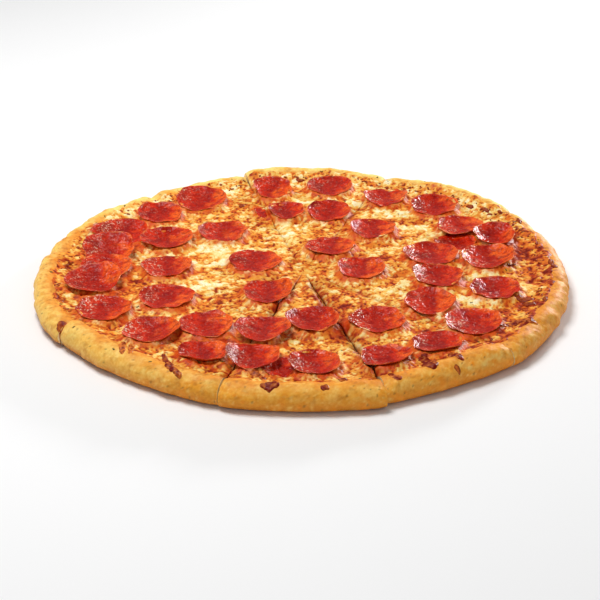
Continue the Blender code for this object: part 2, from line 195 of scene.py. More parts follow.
# Floury places on the crust, painted paler, which is flour and also a painted highlight.
FLOUR_AND_HIGHLIGHT_PATCHES = mark_rows(
    (167, -124, 26, 10, 146, 0.8),
    (161, -135, 12, 8, 130, 0.7),
    (171, -48, 34, 10, 42, 1.0),
    (175, -42, 14, 9, 48, 1.0),
    (171, -58, 15, 8, 32, 0.9),
    (166, -54, 12, 5, -50, 0.9),
    (170, -36, 18, 6, 54, 0.7),
    (168, -150, 18, 8, 120, 0.6),
    (171, 178, 70, 12, 88, 0.7),
    (168, -109, 14, 8, 160, 0.5),
)
BURNS = mark_rows(
    (152, -20.8, 11, 8, 30),
    (157, -23.5, 9, 6, -20),
    (140, -1.0, 6, 4, 0),
    (166, -21.8, 7, 3, 60),
    (167, -2.1, 10, 6, 90),
    (157, 39.0, 7, 4, 130),
    (160, 34.2, 8, 4, 120),
    (166, 30.8, 6, 3, 110),
    (168, 23.7, 8, 4, 110),
    (158, 101.2, 9, 5, 30),
    (156, 90.7, 6, 4, 0),
    (120, 112.0, 6, 4, 0),
)
# Where the cheese lies thick and pale, with few browned spots.
PALE_PATCHES = mark_rows(
    (58, 150, 52, 26, -20),
    (75, 172, 34, 12, 0),
    (72, 198, 34, 14, 10),
    (60, 100, 34, 16, 90, 0.9),
    (118, 72, 26, 12, 0),
    (112, 55, 30, 12, -10),
    (118, 90, 18, 12, 0, 0.8),
    (106, 28, 30, 10, 10, 0.8),
    (120, -8, 22, 9, 0, 0.7),
    (152, -14, 20, 12, -60, 0.8),
    (84, -33, 40, 9, -40, 0.8),
    (118, -27, 20, 10, -20, 0.8),
    (118, -78, 26, 10, 0, 0.5),
    (60, -90, 16, 8, 0, 0.4),
    (120, 145, 20, 9, 20, 0.7),
    (118, 168, 20, 8, 0, 0.7),
    (105, 39, 22, 10, 10, 0.9),
    (149, 115, 24, 10, 20, 0.8),
)
# Where it is thin, and sauce and oil show.
RED_PATCHES = mark_rows(
    (62, -72, 44, 14, -70, 0.9),
    (100, -79, 40, 14, -75, 0.8),
    (118, -118, 34, 12, -20, 0.8),
    (72, -140, 30, 16, 40, 0.8),
    (120, 192, 26, 14, 60, 1.0),
    (120, -52, 26, 12, -50, 0.8),
    (150, 8, 26, 14, 90, 0.7),
    (152, 118, 26, 10, 20, 0.3),
    (64, 14, 22, 9, 0, 0.7),
    (89, -70, 20, 12, 0, 0.9),
    (98, 55, 18, 8, 0, 0.9),
)

# Noise: how many cells before it repeats, what brings it to about -1 to 1, and a distance
# beyond any between scattered points
TABLE = 256
WAVE_HEIGHT = 1.45
FAR_OFF = 9.0
# Maps: how far they reach from the origin, and their steps
MAP_REACH = 190 * MM
MAP_STEP = 1.0 * MM
FINE_STEP = 0.5 * MM


def shown(red, green, blue):
    """A colour as a screen shows it, from 0 to 255, as the light that it stands for."""
    return tuple((value / 255) ** 2.2 for value in (red, green, blue))


CRUST_GOLD = shown(242, 168, 54)
CRUST_PALE_AND_HIGHLIGHT = shown(253, 208, 108)
CRUST_FLOUR_AND_HIGHLIGHT = shown(255, 220, 124)
CRUST_ORANGE = shown(240, 146, 38)
CRUST_BROWN_AND_SHADE = shown(192, 112, 36)
CRUST_SHADE = shown(140, 78, 28)
CRUST_OILED = shown(232, 142, 46)
FRECKLE = shown(130, 76, 34)
CRUMB = shown(250, 222, 166)
SAUCE = shown(128, 28, 12)
BURNT = shown(132, 44, 18)
RUN_DARK = shown(118, 22, 6)
RUN_LIGHT = shown(226, 124, 52)
TOAST = shown(158, 70, 28)
HERB = shown(96, 84, 30)
CHEESE_TONES = (
    shown(122, 30, 14),
    shown(186, 66, 24),
    shown(226, 118, 36),
    shown(240, 164, 62),
    shown(248, 206, 112),
    shown(252, 232, 164),
    shown(255, 243, 200),
)
MEAT_DEEP_AND_SHADE = shown(136, 6, 0)
MEAT_RED = shown(212, 44, 10)
MEAT_LIT_ORANGE = shown(248, 102, 28)
MEAT_FAT_GLINT = shown(255, 218, 186)
MEAT_FATTY_SHEEN = shown(220, 92, 60)
MEAT_EDGE_SHEEN = shown(240, 138, 80)
MEAT_UNDER = shown(212, 84, 36)
OIL = shown(222, 96, 28)
HALO = shown(208, 64, 16)

# Materials. The grain is a share of red, green and blue, and bumps are pairs of a size and a
# height in millimetres.
LOOKS = dict(
    dough_skin=dict(
        roughness=0.55, specular=0.22, grain_mm=1.7, grain=(0.05, 0.15, 0.34),
        bumps=((6, 0.6), (1.4, 0.2)),
    ),
    dough_crumb=dict(
        roughness=0.8, specular=0.35, grain_mm=1.5, grain=(0.1, 0.18, 0.25),
        bumps=((1.6, 0.5),),
    ),
    melted_cheese=dict(
        roughness=0.46, specular=0.14, grain_mm=1.1, grain=(0.06, 0.16, 0.3),
        bumps=((1.0, 0.24),),
    ),
    baked_pepperoni=dict(
        roughness=0.18, specular=0.18, grain_mm=1.3, grain=(0.22, 0.5, 0.5),
        bumps=((2.6, 0.9), (1.2, 0.35)),
    ),
    browned_cheese=dict(
        roughness=0.35, specular=0.15, grain_mm=1.3, grain=(0.2, 0.35, 0.4),
        bumps=((1.1, 0.35),),
    ),
)
# Pale flecks on the pepperoni's fatty side: fat, and painted glints.
FAT_AND_GLINT_FLECKS = dict(size_mm=1.6, amount=0.56, strength=0.85, colour=MEAT_FAT_GLINT)
OILY_ROUGHNESS = 0.34
# A mix node's inputs and output for colours, which share their names with other ones
MIX_FIRST, MIX_SECOND, MIX_RESULT = 6, 7, 2

# Studio. Each light has its place, its width and length, and its power in watts.
LIGHTS = (
    ("key", (-0.36, 0.1, 1.15), (0.5, 0.5), 11.6),
    ("back", (0.80, 1.06, 0.34), (0.28, 0.14), 11.0),
    ("front", (0.4, -1.3, 0.6), (0.8, 0.5), 1.0),
)
SKY_STRENGTH = 0.29
FLOOR_ROUGHNESS = 0.9
FLOOR_SPECULAR = 0.35
FLOOR_COLOUR = (0.9, 0.9, 0.9, 1)
FLOOR_HALF = 4.0
FLOOR_DROP = 0.2 * MM


def cells(x, y, size):
    """The places as counted in cells of a size, and the numbers of their cells."""
    u, v = np.asarray(x) / size, np.asarray(y) / size
    return u, v, np.floor(u).astype(int), np.floor(v).astype(int)


def waves(x, y, size, seed):
    """Smooth noise between about -1 and 1, with bumps about as wide as size."""
    angles = np.random.default_rng(seed).random((TABLE, TABLE)) * 2 * np.pi
    across, along = np.cos(angles), np.sin(angles)
    u, v, i, j = cells(x, y, size)
    f, g = u - i, v - j

    def corner(di, dj):
        a = (i + di) % TABLE
        b = (j + dj) % TABLE
        return across[a, b] * (f - di) + along[a, b] * (g - dj)

    s = f**3 * (f * (6 * f - 15) + 10)
    t = g**3 * (g * (6 * g - 15) + 10)
    near = corner(0, 0) * (1 - s) + corner(1, 0) * s
    far = corner(0, 1) * (1 - s) + corner(1, 1) * s
    return WAVE_HEIGHT * (near * (1 - t) + far * t)


def layered(x, y, size, seed, layers=3):
    """Waves with finer and weaker waves on them."""
    total = 0.0
    for layer in range(layers):
        total = total + waves(x, y, size / 2**layer, seed + 17 * layer) / 2**layer
    return total


def scattered(x, y, size, seed):
    """For each spot, the distance to the nearest of some scattered points, as a share of
    their spacing, and that point's own number from 0 to 1."""
    across, along, number = np.random.default_rng(seed).random((3, TABLE, TABLE))
    u, v, i, j = cells(x, y, size)
    nearest = np.full(u.shape, FAR_OFF)
    own = np.zeros(u.shape)
    for di in (-1, 0, 1):
        for dj in (-1, 0, 1):
            a = (i + di) % TABLE
            b = (j + dj) % TABLE
            distance = np.hypot(i + di + across[a, b] - u, j + dj + along[a, b] - v)
            closer = distance < nearest
            nearest = np.where(closer, distance, nearest)
            own = np.where(closer, number[a, b], own)
    return nearest, own


def rising(low, high, value):
    """0 up to low, 1 from high on, and a smooth rise between."""
    share = np.clip((value - low) / (high - low), 0, 1)
    return share * share * (3 - 2 * share)


def tinted(colours, other, share):
    """The colours moved towards another one, by a share for each."""
    share = np.asarray(share)[..., None]
    return np.asarray(colours) * (1 - share) + np.asarray(other) * share


def washed(colour, *washes):
    """A colour under washes of other ones, each given with its share."""
    for other, share in washes:
        colour = tinted(colour, other, share)
    return colour


def polar(away, bearing):
    angle = np.radians(bearing)
    return away * np.cos(angle), away * np.sin(angle)


def from_middle(away, bearing):
    """The spot at a distance and bearing from the pizza's middle."""
    x, y = polar(away, bearing)
    return centre[0] + x, centre[1] + y


def between(values, u, v):
    """A grid's values between its points, at places counted in steps of the grid."""
    i = np.minimum(u.astype(int), values.shape[0] - 2)
    j = np.minimum(v.astype(int), values.shape[1] - 2)
    f, g = u - i, v - j
    near = values[i, j] * (1 - f) + values[i + 1, j] * f
    far = values[i, j + 1] * (1 - f) + values[i + 1, j + 1] * f
    return near * (1 - g) + far * g


def smooth_through(known, values, wanted):
    """A smooth curve through known values, one row for each wanted place."""
    slopes = np.gradient(values, known, axis=0)
    wanted = np.clip(wanted, known[0], known[-1])
    left = np.clip(np.searchsorted(known, wanted) - 1, 0, len(known) - 2)
    width = known[left + 1] - known[left]
    share = (wanted - known[left]) / width
    shape = (-1,) + (1,) * (values.ndim - 1)
    s, w = share.reshape(shape), width.reshape(shape)
    start = values[left] * (1 + 2 * s) * (1 - s) ** 2 + slopes[left] * w * s * (1 - s) ** 2
    end = values[left + 1] * s**2 * (3 - 2 * s) + slopes[left + 1] * w * s**2 * (s - 1)
    return start + end


def points_of(name):
    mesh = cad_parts[name].data
    points = np.empty(len(mesh.vertices) * 3)
    mesh.vertices.foreach_get("co", points)
    return points.reshape(-1, 3)


def tree_of(obj):
    """An object's surface, for casting rays at."""
    mesh = obj.data
    points = [vertex.co.copy() for vertex in mesh.vertices]
    return BVHTree.FromPolygons(points, [tuple(face.vertices) for face in mesh.polygons])


def cast(tree, x, y, start=1.0):
    """Where a ray straight down meets a surface, and the way out of it there. The ray goes
    up instead from a start below 0."""
    return tree.ray_cast(Vector((x, y, start)), Vector((0, 0, -start)))[:2]


class Map:
    """Values over a square grid around the pizza."""

    def __init__(self, values, step=MAP_STEP):
        self.values = values
        self.step = step

    @staticmethod
    def line(step=MAP_STEP):
        return np.arange(-MAP_REACH, MAP_REACH + step / 2, step)

    @classmethod
    def of_surfaces(cls, objects, upwards=False):
        """The highest place of some objects over each spot, or the lowest one upwards, and
        not a number beside them."""
        start, pick = (-1.0, np.fmin) if upwards else (1.0, np.fmax)
        line = cls.line()
        values = np.full((len(line), len(line)), np.nan)
        for obj in objects:
            tree = tree_of(obj)
            low, high = np.array(obj.bound_box).min(0), np.array(obj.bound_box).max(0)
            columns = np.nonzero((line > low[0]) & (line < high[0]))[0]
            rows = np.nonzero((line > low[1]) & (line < high[1]))[0]
            for i in columns:
                for j in rows:
                    hit = cast(tree, line[i], line[j], start)[0]
                    if hit is not None:
                        values[i, j] = pick(values[i, j], hit.z)
        return cls(values)

    def at(self, x, y):
        last = len(self.values) - 1.001
        u, v = (np.clip((value + MAP_REACH) / self.step, 0, last) for value in (x, y))
        return between(self.values, u, v)


def blurred(values, width, step=MAP_STEP):
    """The values softened over a width, without those that aren't numbers."""
    steps = int(3 * width / step)
    kernel = np.exp(-0.5 * (np.arange(-steps, steps + 1) * step / width) ** 2)
    kernel /= kernel.sum()

    def soften(grid):
        for axis in (0, 1):
            grid = np.apply_along_axis(np.convolve, axis, grid, kernel, "same")
        return grid

    known = np.isfinite(values)
    weight = soften(known.astype(float))
    return soften(np.where(known, values, 0.0)) / np.maximum(weight, 1e-6)


def in_mark(x, y, mark, softness):
    """How strongly a mark covers each spot."""
    middle_x, middle_y = from_middle(mark.away * MM, mark.bearing)
    dx, dy = x - middle_x, y - middle_y
    turn = math.radians(mark.along)
    along = (dx * math.cos(turn) + dy * math.sin(turn)) / (mark.length / 2 * MM)
    across = (dy * math.cos(turn) - dx * math.sin(turn)) / (mark.width / 2 * MM)
    ragged = 0.35 * waves(x, y, 5 * MM, 71) + 0.2 * waves(x, y, 2.3 * MM, 72)
    return mark.strength * rising(1 + softness, 1 - softness, np.hypot(along, across) + ragged)


def in_marks(x, y, marks, softness=0.35):
    cover = np.zeros(np.shape(x))
    for mark in marks:
        cover = np.maximum(cover, in_mark(x, y, mark, softness))
    return cover


class Slice:
    """The two cut sides and the upright sections of one slice, read from its dough."""

    def __init__(self, number):
        self.number = number
        points = points_of(f"dough_{number:02d}")
        low = points[points[:, 2] < UNDERSIDE]
        away = np.hypot(low[:, 0], low[:, 1])
        tips, bases = low[away < TIP_WITHIN], low[away > FLOOR_ABOVE]
        middle = bases.mean(0)[:2]
        middle /= np.linalg.norm(middle)
        across = np.array((-middle[1], middle[0]))
        tips = tips[np.argsort(tips[:, :2] @ across)][:, :2]
        bases = bases[np.argsort(bases[:, :2] @ across)][:, :2]
        first, last = bases[0] - tips[0], bases[-1] - tips[-1]
        share = np.linalg.solve(np.column_stack((first, -last)), tips[-1] - tips[0])
        self.apex = tips[0] + first * share[0]
        self.start = math.degrees(math.atan2(first[1], first[0]))
        self.end = math.degrees(math.atan2(last[1], last[0]))
        if self.end < self.start:
            self.end += 360
        self.read_sections(points)

    def read_sections(self, points):
        """Groups the solid's points by bearing, each group in order round its section."""
        offset = points[:, :2] - self.apex
        away = np.hypot(offset[:, 0], offset[:, 1])
        middle = (self.start + self.end) / 2
        bearing = np.degrees(np.arctan2(offset[:, 1], offset[:, 0]))
        bearing = middle + (bearing - middle + 180) % 360 - 180
        kept = (away < 2 * TIP_RADIUS) | (away > FLOOR_ABOVE)
        outline = np.column_stack((away, points[:, 2]))[kept]
        bearing = bearing[kept]
        order = np.argsort(bearing)
        breaks = np.nonzero(np.diff(bearing[order]) > 0.1)[0] + 1
        self.bearings, self.sections = [], []
        for group in np.split(order, breaks):
            section = np.unique(np.round(outline[group], 5), axis=0)
            inside = np.array((section[:, 0].max() - CREST_INSET, 3 * MM))
            turn = np.arctan2(section[:, 1] - inside[1], section[:, 0] - inside[0])
            section = section[np.argsort(turn)]
            assert len(section) == PROFILE_POINTS, (self.number, len(section))
            self.bearings.append(bearing[group].mean())
            self.sections.append(section)
        self.bearings = np.array(self.bearings)
        self.sections = np.array(self.sections)

    def section_at(self, bearings):
        return smooth_through(self.bearings, self.sections, bearings)

    def place(self, away, bearing):
        """Spots in the frame. Near a cut they are moved sideways, to the gap's look."""
        share = (bearing - self.start) / (self.end - self.start)
        before, after = self.side_shift(away)
        sideways = after * share - before * (1 - share)
        bearing = bearing + np.degrees(sideways / np.maximum(away, TIP_RADIUS))
        x, y = polar(away, bearing)
        inwards = np.exp(-away / TIP_REACH)
        x = x + self.apex[0] + (centre[0] - self.apex[0]) * inwards
        return x, y + self.apex[1] + (centre[1] - self.apex[1]) * inwards

    def sides(self):
        """The numbers of the cuts before and after the slice, and their bearings."""
        return ((self.number - 1) % SLICE_COUNT, self.start), (self.number % SLICE_COUNT, self.end)

    def side_shift(self, away):
        """How far each side moves out, so that the gap gets the width that it shows."""
        shifts = []
        for which, side in self.sides():
            x, y = polar(away, side)
            wander = waves(x, y, 14 * MM, 200 + which) + 0.5 * waves(x, y, 5 * MM, 220 + which)
            width = (CUTS[which].width + CUTS[which].wander * wander) * MM
            shifts.append((SOLID_GAP - width) / 2)
        return shifts


def meeting_point(slices):
    """The pizza's middle. Each slice has slid out from there along its own middle line."""
    normals = []
    offsets = []
    for cut in slices:
        middle = math.radians((cut.start + cut.end) / 2)
        normals.append((-math.sin(middle), math.cos(middle)))
        offsets.append(cut.apex @ normals[-1])
    return np.linalg.lstsq(np.array(normals), np.array(offsets), rcond=None)[0]


def new_mesh(name, points, faces, paint, oil=None):
    """A smooth mesh with a colour at each point, and optionally how oily it is there, which on the
    pepperoni is how fatty it is and where its glints are painted.
    """
    mesh = bpy.data.meshes.new(name)
    mesh.from_pydata(np.asarray(points).tolist(), [], faces)
    mesh.shade_smooth()
    colours = np.ones((len(points), 4))
    colours[:, :3] = np.clip(paint, 0, 1)
    layer = mesh.color_attributes.new(name="Paint", type="FLOAT_COLOR", domain="POINT")
    layer.data.foreach_set("color", colours.ravel())
    layer = mesh.attributes.new(name="OilAndGlints", type="FLOAT", domain="POINT")
    layer.data.foreach_set("value", np.zeros(len(points)) if oil is None else oil)
    return mesh


def add_object(name, data):
    obj = bpy.data.objects.new(name, data)
    bpy.context.scene.collection.objects.link(obj)
    return obj


def add_piece(mesh, materials, replaced=()):
    piece = add_object(mesh.name, mesh)
    for material in materials:
        mesh.materials.append(material)
    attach(piece, "root")
    if replaced:
        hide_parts(*replaced)
    return piece


def quads(rows, across, first=0, closed=True):
    """Faces between rows of points, numbered row by row from the first one."""
    faces = []
    for a in range(first, first + (rows - 1) * across, across):
        for j in range(across if closed else across - 1):
            k = (j + 1) % across
            faces.append((a + j, a + across + j, a + across + k, a + k))
    return faces


def strip(row, following):
    """Triangles between two rows of point numbers that run the same way."""
    faces = []
    i = j = 0
    last, end = len(row) - 1, len(following) - 1
    while i < last or j < end:
        if j == end or (i < last and (i + 1) * end <= (j + 1) * last):
            faces.append((row[i], following[j], row[i + 1]))
            i += 1
        else:
            faces.append((row[i], following[j], following[j + 1]))
            j += 1
    return faces


def dough_colours(x, y, height, crest, from_edge, number):
    """Golden, with freckles and browned spots. Painted highlight makes it paler on top and on the
    left, and painted shade makes it browner and darker towards the underside and more orange at the
    front and right.
    """
    up = height / crest
    u, v = x, y + 0.8 * height

    def patches(low, high, size_mm, seed, layers=3):
        return rising(low, high, layered(u, v, size_mm * MM, seed, layers))

    mottle = layered(u, v, 15 * MM, 31)
    # Orange patches at random, and more orange at the front and the right, which is painted shade
    # on those sides.
    orange = 0.5 * patches(0.0, 0.8, 8, 33) * rising(1.0, 0.6, up)
    orange += 0.4 * patches(0.2, 0.9, 3.6, 41)
    orange += 0.3 * rising(0, -100 * MM, y)
    orange += 0.3 * rising(30 * MM, 130 * MM, x) * rising(40 * MM, 0, y)
    # The back crest. The flour painted there is also a painted highlight from the light behind.
    far = rising(40 * MM, 100 * MM, y) * rising(0.55, 0.85, up)
    floury_highlight = in_marks(u, v, FLOUR_AND_HIGHLIGHT_PATCHES, 0.6) * rising(0.5, 0.85, up)
    near, own = scattered(u, v, 5.5 * MM, 51)
    freckles = rising(0.16, 0.06, near) * (own > 0.7)
    wander = 4.5 * MM * layered(u, v, 8 * MM, 61) + 6 * MM * far
    browned = rising(10 * MM, 0, from_edge + wander)
    baked = 0.45 + 0.3 * rising(1.5, 4.5, RUN_UPS[number - 1])
    return washed(
        CRUST_GOLD,
        # Painted highlight: paler on top.
        (CRUST_PALE_AND_HIGHLIGHT, 0.95 * rising(-0.5, 0.7, mottle) * rising(0.4, 0.8, up)),
        # Painted shade: browner towards the underside, and darker still at its foot.
        (CRUST_BROWN_AND_SHADE, 0.75 * rising(0.72 + 0.1 * mottle, 0.15, up)),
        (CRUST_SHADE, 0.8 * rising(0.2, 0.0, up)),
        (CRUST_ORANGE, orange * rising(-170 * MM, -90 * MM, x)),
        (CRUST_PALE_AND_HIGHLIGHT, 0.5 * patches(0.3, 1.0, 4.4, 42)),
        # Painted light: paler on the left side.
        (CRUST_PALE_AND_HIGHLIGHT, 0.6 * rising(-60 * MM, -150 * MM, x) * rising(0.2, 0.5, up)),
        (CRUST_OILED, 0.7 * patches(0.0, 0.5, 12, 45, 4) * rising(16 * MM, 4 * MM, from_edge)),
        (CRUST_BROWN_AND_SHADE, 0.5 * patches(0.25, 0.8, 5, 46) * rising(0.3, 0.6, up)),
        # Flour on the back crest and in the floury places, its paleness also a painted highlight;
        # then fine flour specks.
        (CRUST_FLOUR_AND_HIGHLIGHT, 0.85 * far * rising(-0.8, 0.1, mottle)),
        (CRUST_FLOUR_AND_HIGHLIGHT, 0.9 * floury_highlight * patches(-0.7, 0.7, 3.2, 43, 2)),
        (CRUST_FLOUR_AND_HIGHLIGHT, 0.45 * patches(0.2, 0.9, 2.4, 44, 2) * rising(0.1, 0.5, up)),
        (FRECKLE, 0.7 * freckles),
        (CRUST_OILED, 0.85 * browned),
        (TOAST, 0.75 * browned * patches(0.05, 0.5, 3.0, 62, 2) * baked),
    )


def build_dough(cut, materials):
    """The dough of one slice. Returns its upper side's height, as a table over bearing and
    radius, and its piece."""
    widest = math.radians(cut.end - cut.start) * cut.sections[:, :, 0].max()
    share = np.linspace(0, 1, int(widest / DOUGH_STEP))
    crowded = share - CUT_CROWDING * np.sin(2 * np.pi * share)
    bearings = cut.start + (cut.end - cut.start) * crowded
    sections = cut.section_at(bearings)
    rim = sections[:, RIM_FIRST_POINT:RIM_LAST_POINT + 1]
    lengths = np.linalg.norm(np.diff(rim.mean(0), axis=0), axis=1)
    along = np.concatenate(([0], np.cumsum(lengths)))
    rows = np.linspace(0, along[-1], RIM_ROWS)
    rim = smooth_through(along, rim.transpose(1, 0, 2), rows).transpose(1, 0, 2)
    tip_top = sections[:, -1:]
    middle = (rim[:, -1:] + tip_top) / 2
    profile = np.concatenate((sections[:, :1], rim, middle, tip_top), axis=1)
    slope = np.gradient(profile, axis=1)
    outwards = np.stack((slope[..., 1], -slope[..., 0]), axis=-1)
    outwards /= np.maximum(np.linalg.norm(outwards, axis=-1, keepdims=True), 1e-9)
    spread = np.broadcast_to(bearings[:, None], profile.shape[:2])
    x, y = cut.place(profile[..., 0], spread)
    height = profile[..., 1]
    crest = sections[:, CREST_POINT, 1][:, None]
    inwards = profile[:, :, 0].max() - profile[..., 0]
    free = rising(0.5 * MM, 5 * MM, height) * rising(40 * MM, 20 * MM, inwards)
    v = y + 0.8 * height
    bump = DOUGH_LUMPS * (layered(x, v, 19 * MM, 11, 2) + 0.5 * waves(x, v, 8 * MM, 13))
    bump = bump + DOUGH_WRINKLES * layered(x, v, 4.5 * MM, 12, 2)
    profile = profile + outwards * (bump * free)[..., None]
    x, y = cut.place(profile[..., 0], spread)
    edge = sections[:, CHEESE_EDGE_POINT, 0][:, None] + RUN_UPS[cut.number - 1] * MM
    paint = dough_colours(x, y, profile[..., 1], crest, profile[..., 0] - edge, cut.number)
    points = np.stack((x, y, profile[..., 1]), axis=-1).reshape(-1, 3)
    across = profile.shape[1]
    faces = quads(len(profile), across)
    skin_faces = len(faces)
    ends = len(points)
    points = np.concatenate((points, points[:across], points[-across:]))
    stained = np.concatenate((profile[0], profile[-1]))
    stain = rising(2 * MM, 5 * MM, stained[:, 1]) * rising(0, -8 * MM, stained[:, 0] - edge.mean())
    paint = np.concatenate((paint.reshape(-1, 3), tinted(CRUMB, SAUCE, 0.85 * stain)))
    faces.append(tuple(range(ends, ends + across)))
    faces.append(tuple(range(ends + 2 * across - 1, ends + across - 1, -1)))
    mesh = new_mesh(f"baked_dough_{cut.number:02d}", points, faces, paint)
    piece = add_piece(mesh, materials, [f"dough_{cut.number:02d}"])
    for face in mesh.polygons[skin_faces:]:
        face.material_index = 1
        face.use_smooth = False
    radii = np.linspace(TIP_RADIUS, TABLE_REACH, TABLE_RADII)
    upper = []
    for section in profile:
        line = section[np.argmax(section[:, 1]):][::-1]
        upper.append(np.interp(radii, line[:, 0], line[:, 1]))
    return (bearings, radii, np.array(upper)), piece


def read_table(table, bearing, away):
    bearings, radii, values = table
    u = np.interp(bearing, bearings, np.arange(len(bearings)))
    v = np.interp(away, radii, np.arange(len(radii)))
    return between(values, u, v)


class Heap:
    """Soft strands and dots that have melted into each other, on a fine grid."""

    def __init__(self):
        self.x = Map.line(FINE_STEP)
        self.heap = np.zeros((len(self.x), len(self.x)))
        self.tone = np.zeros_like(self.heap)

    def lay(self, x, y, turn, length, width, bend, height, tone):
        """One strand: its middle, direction, length and width, its bend in turns per
        metre, its height and its tone."""
        reach = length / 2 + width
        i = slice(*np.searchsorted(self.x, (x - reach, x + reach)))
        j = slice(*np.searchsorted(self.x, (y - reach, y + reach)))
        dx = self.x[i, None] - x
        dy = self.x[None, j] - y
        along = dx * math.cos(turn) + dy * math.sin(turn)
        across = dy * math.cos(turn) - dx * math.sin(turn) - bend * along**2
        beyond = np.maximum(np.abs(along) - length / 2, 0)
        away = np.hypot(beyond, across) / (width / 2)
        dome = np.sqrt(np.maximum(1 - away**2, 0))
        push = np.expm1(height * dome / SHRED_SOFTNESS)
        self.heap[i, j] += push
        self.tone[i, j] += push * tone

    def height(self):
        return SHRED_SOFTNESS * np.log1p(self.heap)


def spots_on_cheese(draw, count):
    """Random spots, and how far each is from the middle."""
    away = CHEESE_REACH * np.sqrt(draw.random(count))
    return (*from_middle(away, 360 * draw.random(count)), away)


def cheese_heap():
    """The height and tone of the melted shreds, and where they are toasted."""
    draw = np.random.default_rng(7)
    heap = Heap()
    x, y, _ = spots_on_cheese(draw, SHRED_COUNT)
    pale = in_marks(x, y, PALE_PATCHES, 0.6)
    red = in_marks(x, y, RED_PATCHES, 0.6)
    chance = 0.8 + 0.3 * pale - 0.5 * red + 0.2 * layered(x, y, 22 * MM, 321, 2)
    tone = 0.60 + 0.17 * layered(x, y, 13 * MM, 322, 2)
    for k in range(SHRED_COUNT):
        turn, length, width, bend, height, own, keep = draw.random(7)
        if keep > chance[k]:
            continue
        heap.lay(
            x[k], y[k], 2 * math.pi * turn,
            (0.3 + 5 * length**3) * MM, (1.4 + 4.4 * width**2) * MM,
            130 * (bend - 0.5), (0.3 + 0.6 * height) * MM, tone[k] + 0.3 * (own - 0.5),
        )
    x, y, _ = spots_on_cheese(draw, PUDDLE_COUNT)
    pale = in_marks(x, y, PALE_PATCHES, 0.5)
    for k in range(PUDDLE_COUNT):
        turn, length, width, height, own, keep = draw.random(6)
        if keep < 0.1 + pale[k]:
            heap.lay(
                x[k], y[k], 2 * math.pi * turn, (1 + 5 * length) * MM, (3.4 + 3.4 * width) * MM,
                60 * (height - 0.5), (0.8 + 0.4 * height) * MM, 0.66 + 0.3 * own,
            )
    toast = Heap()
    x, y, away = spots_on_cheese(draw, TOAST_COUNT)
    pale = in_marks(x, y, PALE_PATCHES, 0.5)
    front = rising(-20 * MM, -90 * MM, y)
    clumps = layered(x, y, 15 * MM, 331, 2)
    outer = rising(135 * MM, 155 * MM, away) * (1 - rising(30 * MM, 110 * MM, y))
    chance = 0.25 + 0.4 * front + 0.7 * clumps - 0.35 * pale + 0.4 * outer
    for k in range(TOAST_COUNT):
        turn, length, width, height, keep = draw.random(5)
        if keep < chance[k]:
            toast.lay(
                x[k], y[k], 2 * math.pi * turn, 2.2 * length**2 * MM, (0.9 + 1.3 * width**2) * MM,
                0, (0.15 + 0.3 * height) * MM, 1,
            )
    tone = heap.tone / np.maximum(heap.heap, 1e-6)
    return {
        "shreds": Map(heap.height(), FINE_STEP),
        "tone": Map(tone, FINE_STEP),
        "mean": Map(blurred(heap.height(), HEAP_BLUR, FINE_STEP), FINE_STEP),
        "toast": Map(toast.height(), FINE_STEP),
    }


def cheese_pits(x, y):
    """Small hollows, from 0 to 1, where bubbles have burst or fat has pooled."""
    deepest = np.zeros(np.shape(x))
    u = x + 0.7 * MM * waves(x, y, 2.5 * MM, 341)
    v = y + 0.7 * MM * waves(x, y, 2.5 * MM, 342)
    for spacing, seed, amount, width in PITS:
        near, own = scattered(u, v, spacing * MM, seed)
        deepest = np.maximum(deepest, rising(width, 0.5 * width, near) * (own < amount))
    return deepest


def cheese_colours(x, y, away, maps, cover):
    """The cheese's colours, its relief above the smooth surface, and how oily it is."""

    def patches(size_mm, seed, layers=3):
        return layered(x, y, size_mm * MM, seed, layers)

    shreds, mean, tone, toast, halo = (
        maps[name].at(x, y) for name in ("shreds", "mean", "tone", "toast", "halo")
    )
    pale = in_marks(x, y, PALE_PATCHES, 0.5)
    red = in_marks(x, y, RED_PATCHES, 0.6)
    right = rising(60 * MM, 140 * MM, x) * rising(70 * MM, 20 * MM, y)
    baked = rising(132 * MM, 156 * MM, away) * (1 + 2 * right)
    pits = cheese_pits(x, y) * (1 - 0.3 * pale)
    sauce = rising(0.40, 0.95, patches(10, 364) + 0.5 * red - 0.6 * pale)
    crease = np.clip((shreds - mean) / (0.5 * MM), -1.2, 0.7)
    value = 0.60 + 0.24 * pale - 0.20 * red - 0.08 * baked + 0.26 * (tone - 0.6)
    value += 0.12 * patches(12, 411, 2) + 0.08 * patches(3.2, 412, 2)
    value += 0.22 * (rising(-0.12, 0.12, patches(9, 413)) - 0.5)
    value += (0.10 - 0.05 * pale) * crease - 0.34 * pits - 0.26 * sauce
    value += 0.18 * rising(128 * MM, 150 * MM, away) * rising(20 * MM, 100 * MM, y)
    stops = np.linspace(0, 1, len(CHEESE_TONES))
    tones = np.array(CHEESE_TONES)
    paint = np.stack([np.interp(value, stops, tones[:, k]) for k in range(3)], axis=-1)
    beside = rising(0.01, 0.22, cover) * rising(-0.7, 0.3, patches(7, 421, 1))
    beside *= 1 - 0.8 * rising(0.45, 0.7, cover)
    halo = rising(0.04, 0.4, halo) * rising(-0.5, 0.4, patches(8, 423))
    paint = washed(
        paint,
        (OIL, 0.72 * beside),
        (HALO, 0.62 * halo * (1 - 0.5 * pale) * (1 - rising(0.5, 0.9, value))),
        (TOAST, 0.72 * rising(0.03 * MM, 0.28 * MM, toast)),
    )
    relief = 0.6 * (shreds - mean) + 0.2 * toast + 0.35 * MM * pale - 0.30 * MM * red
    relief += 0.45 * MM * patches(11, 301, 2) - 0.36 * MM * pits - 0.2 * MM * sauce
    return paint, relief, np.maximum(0.2 * beside, sauce)


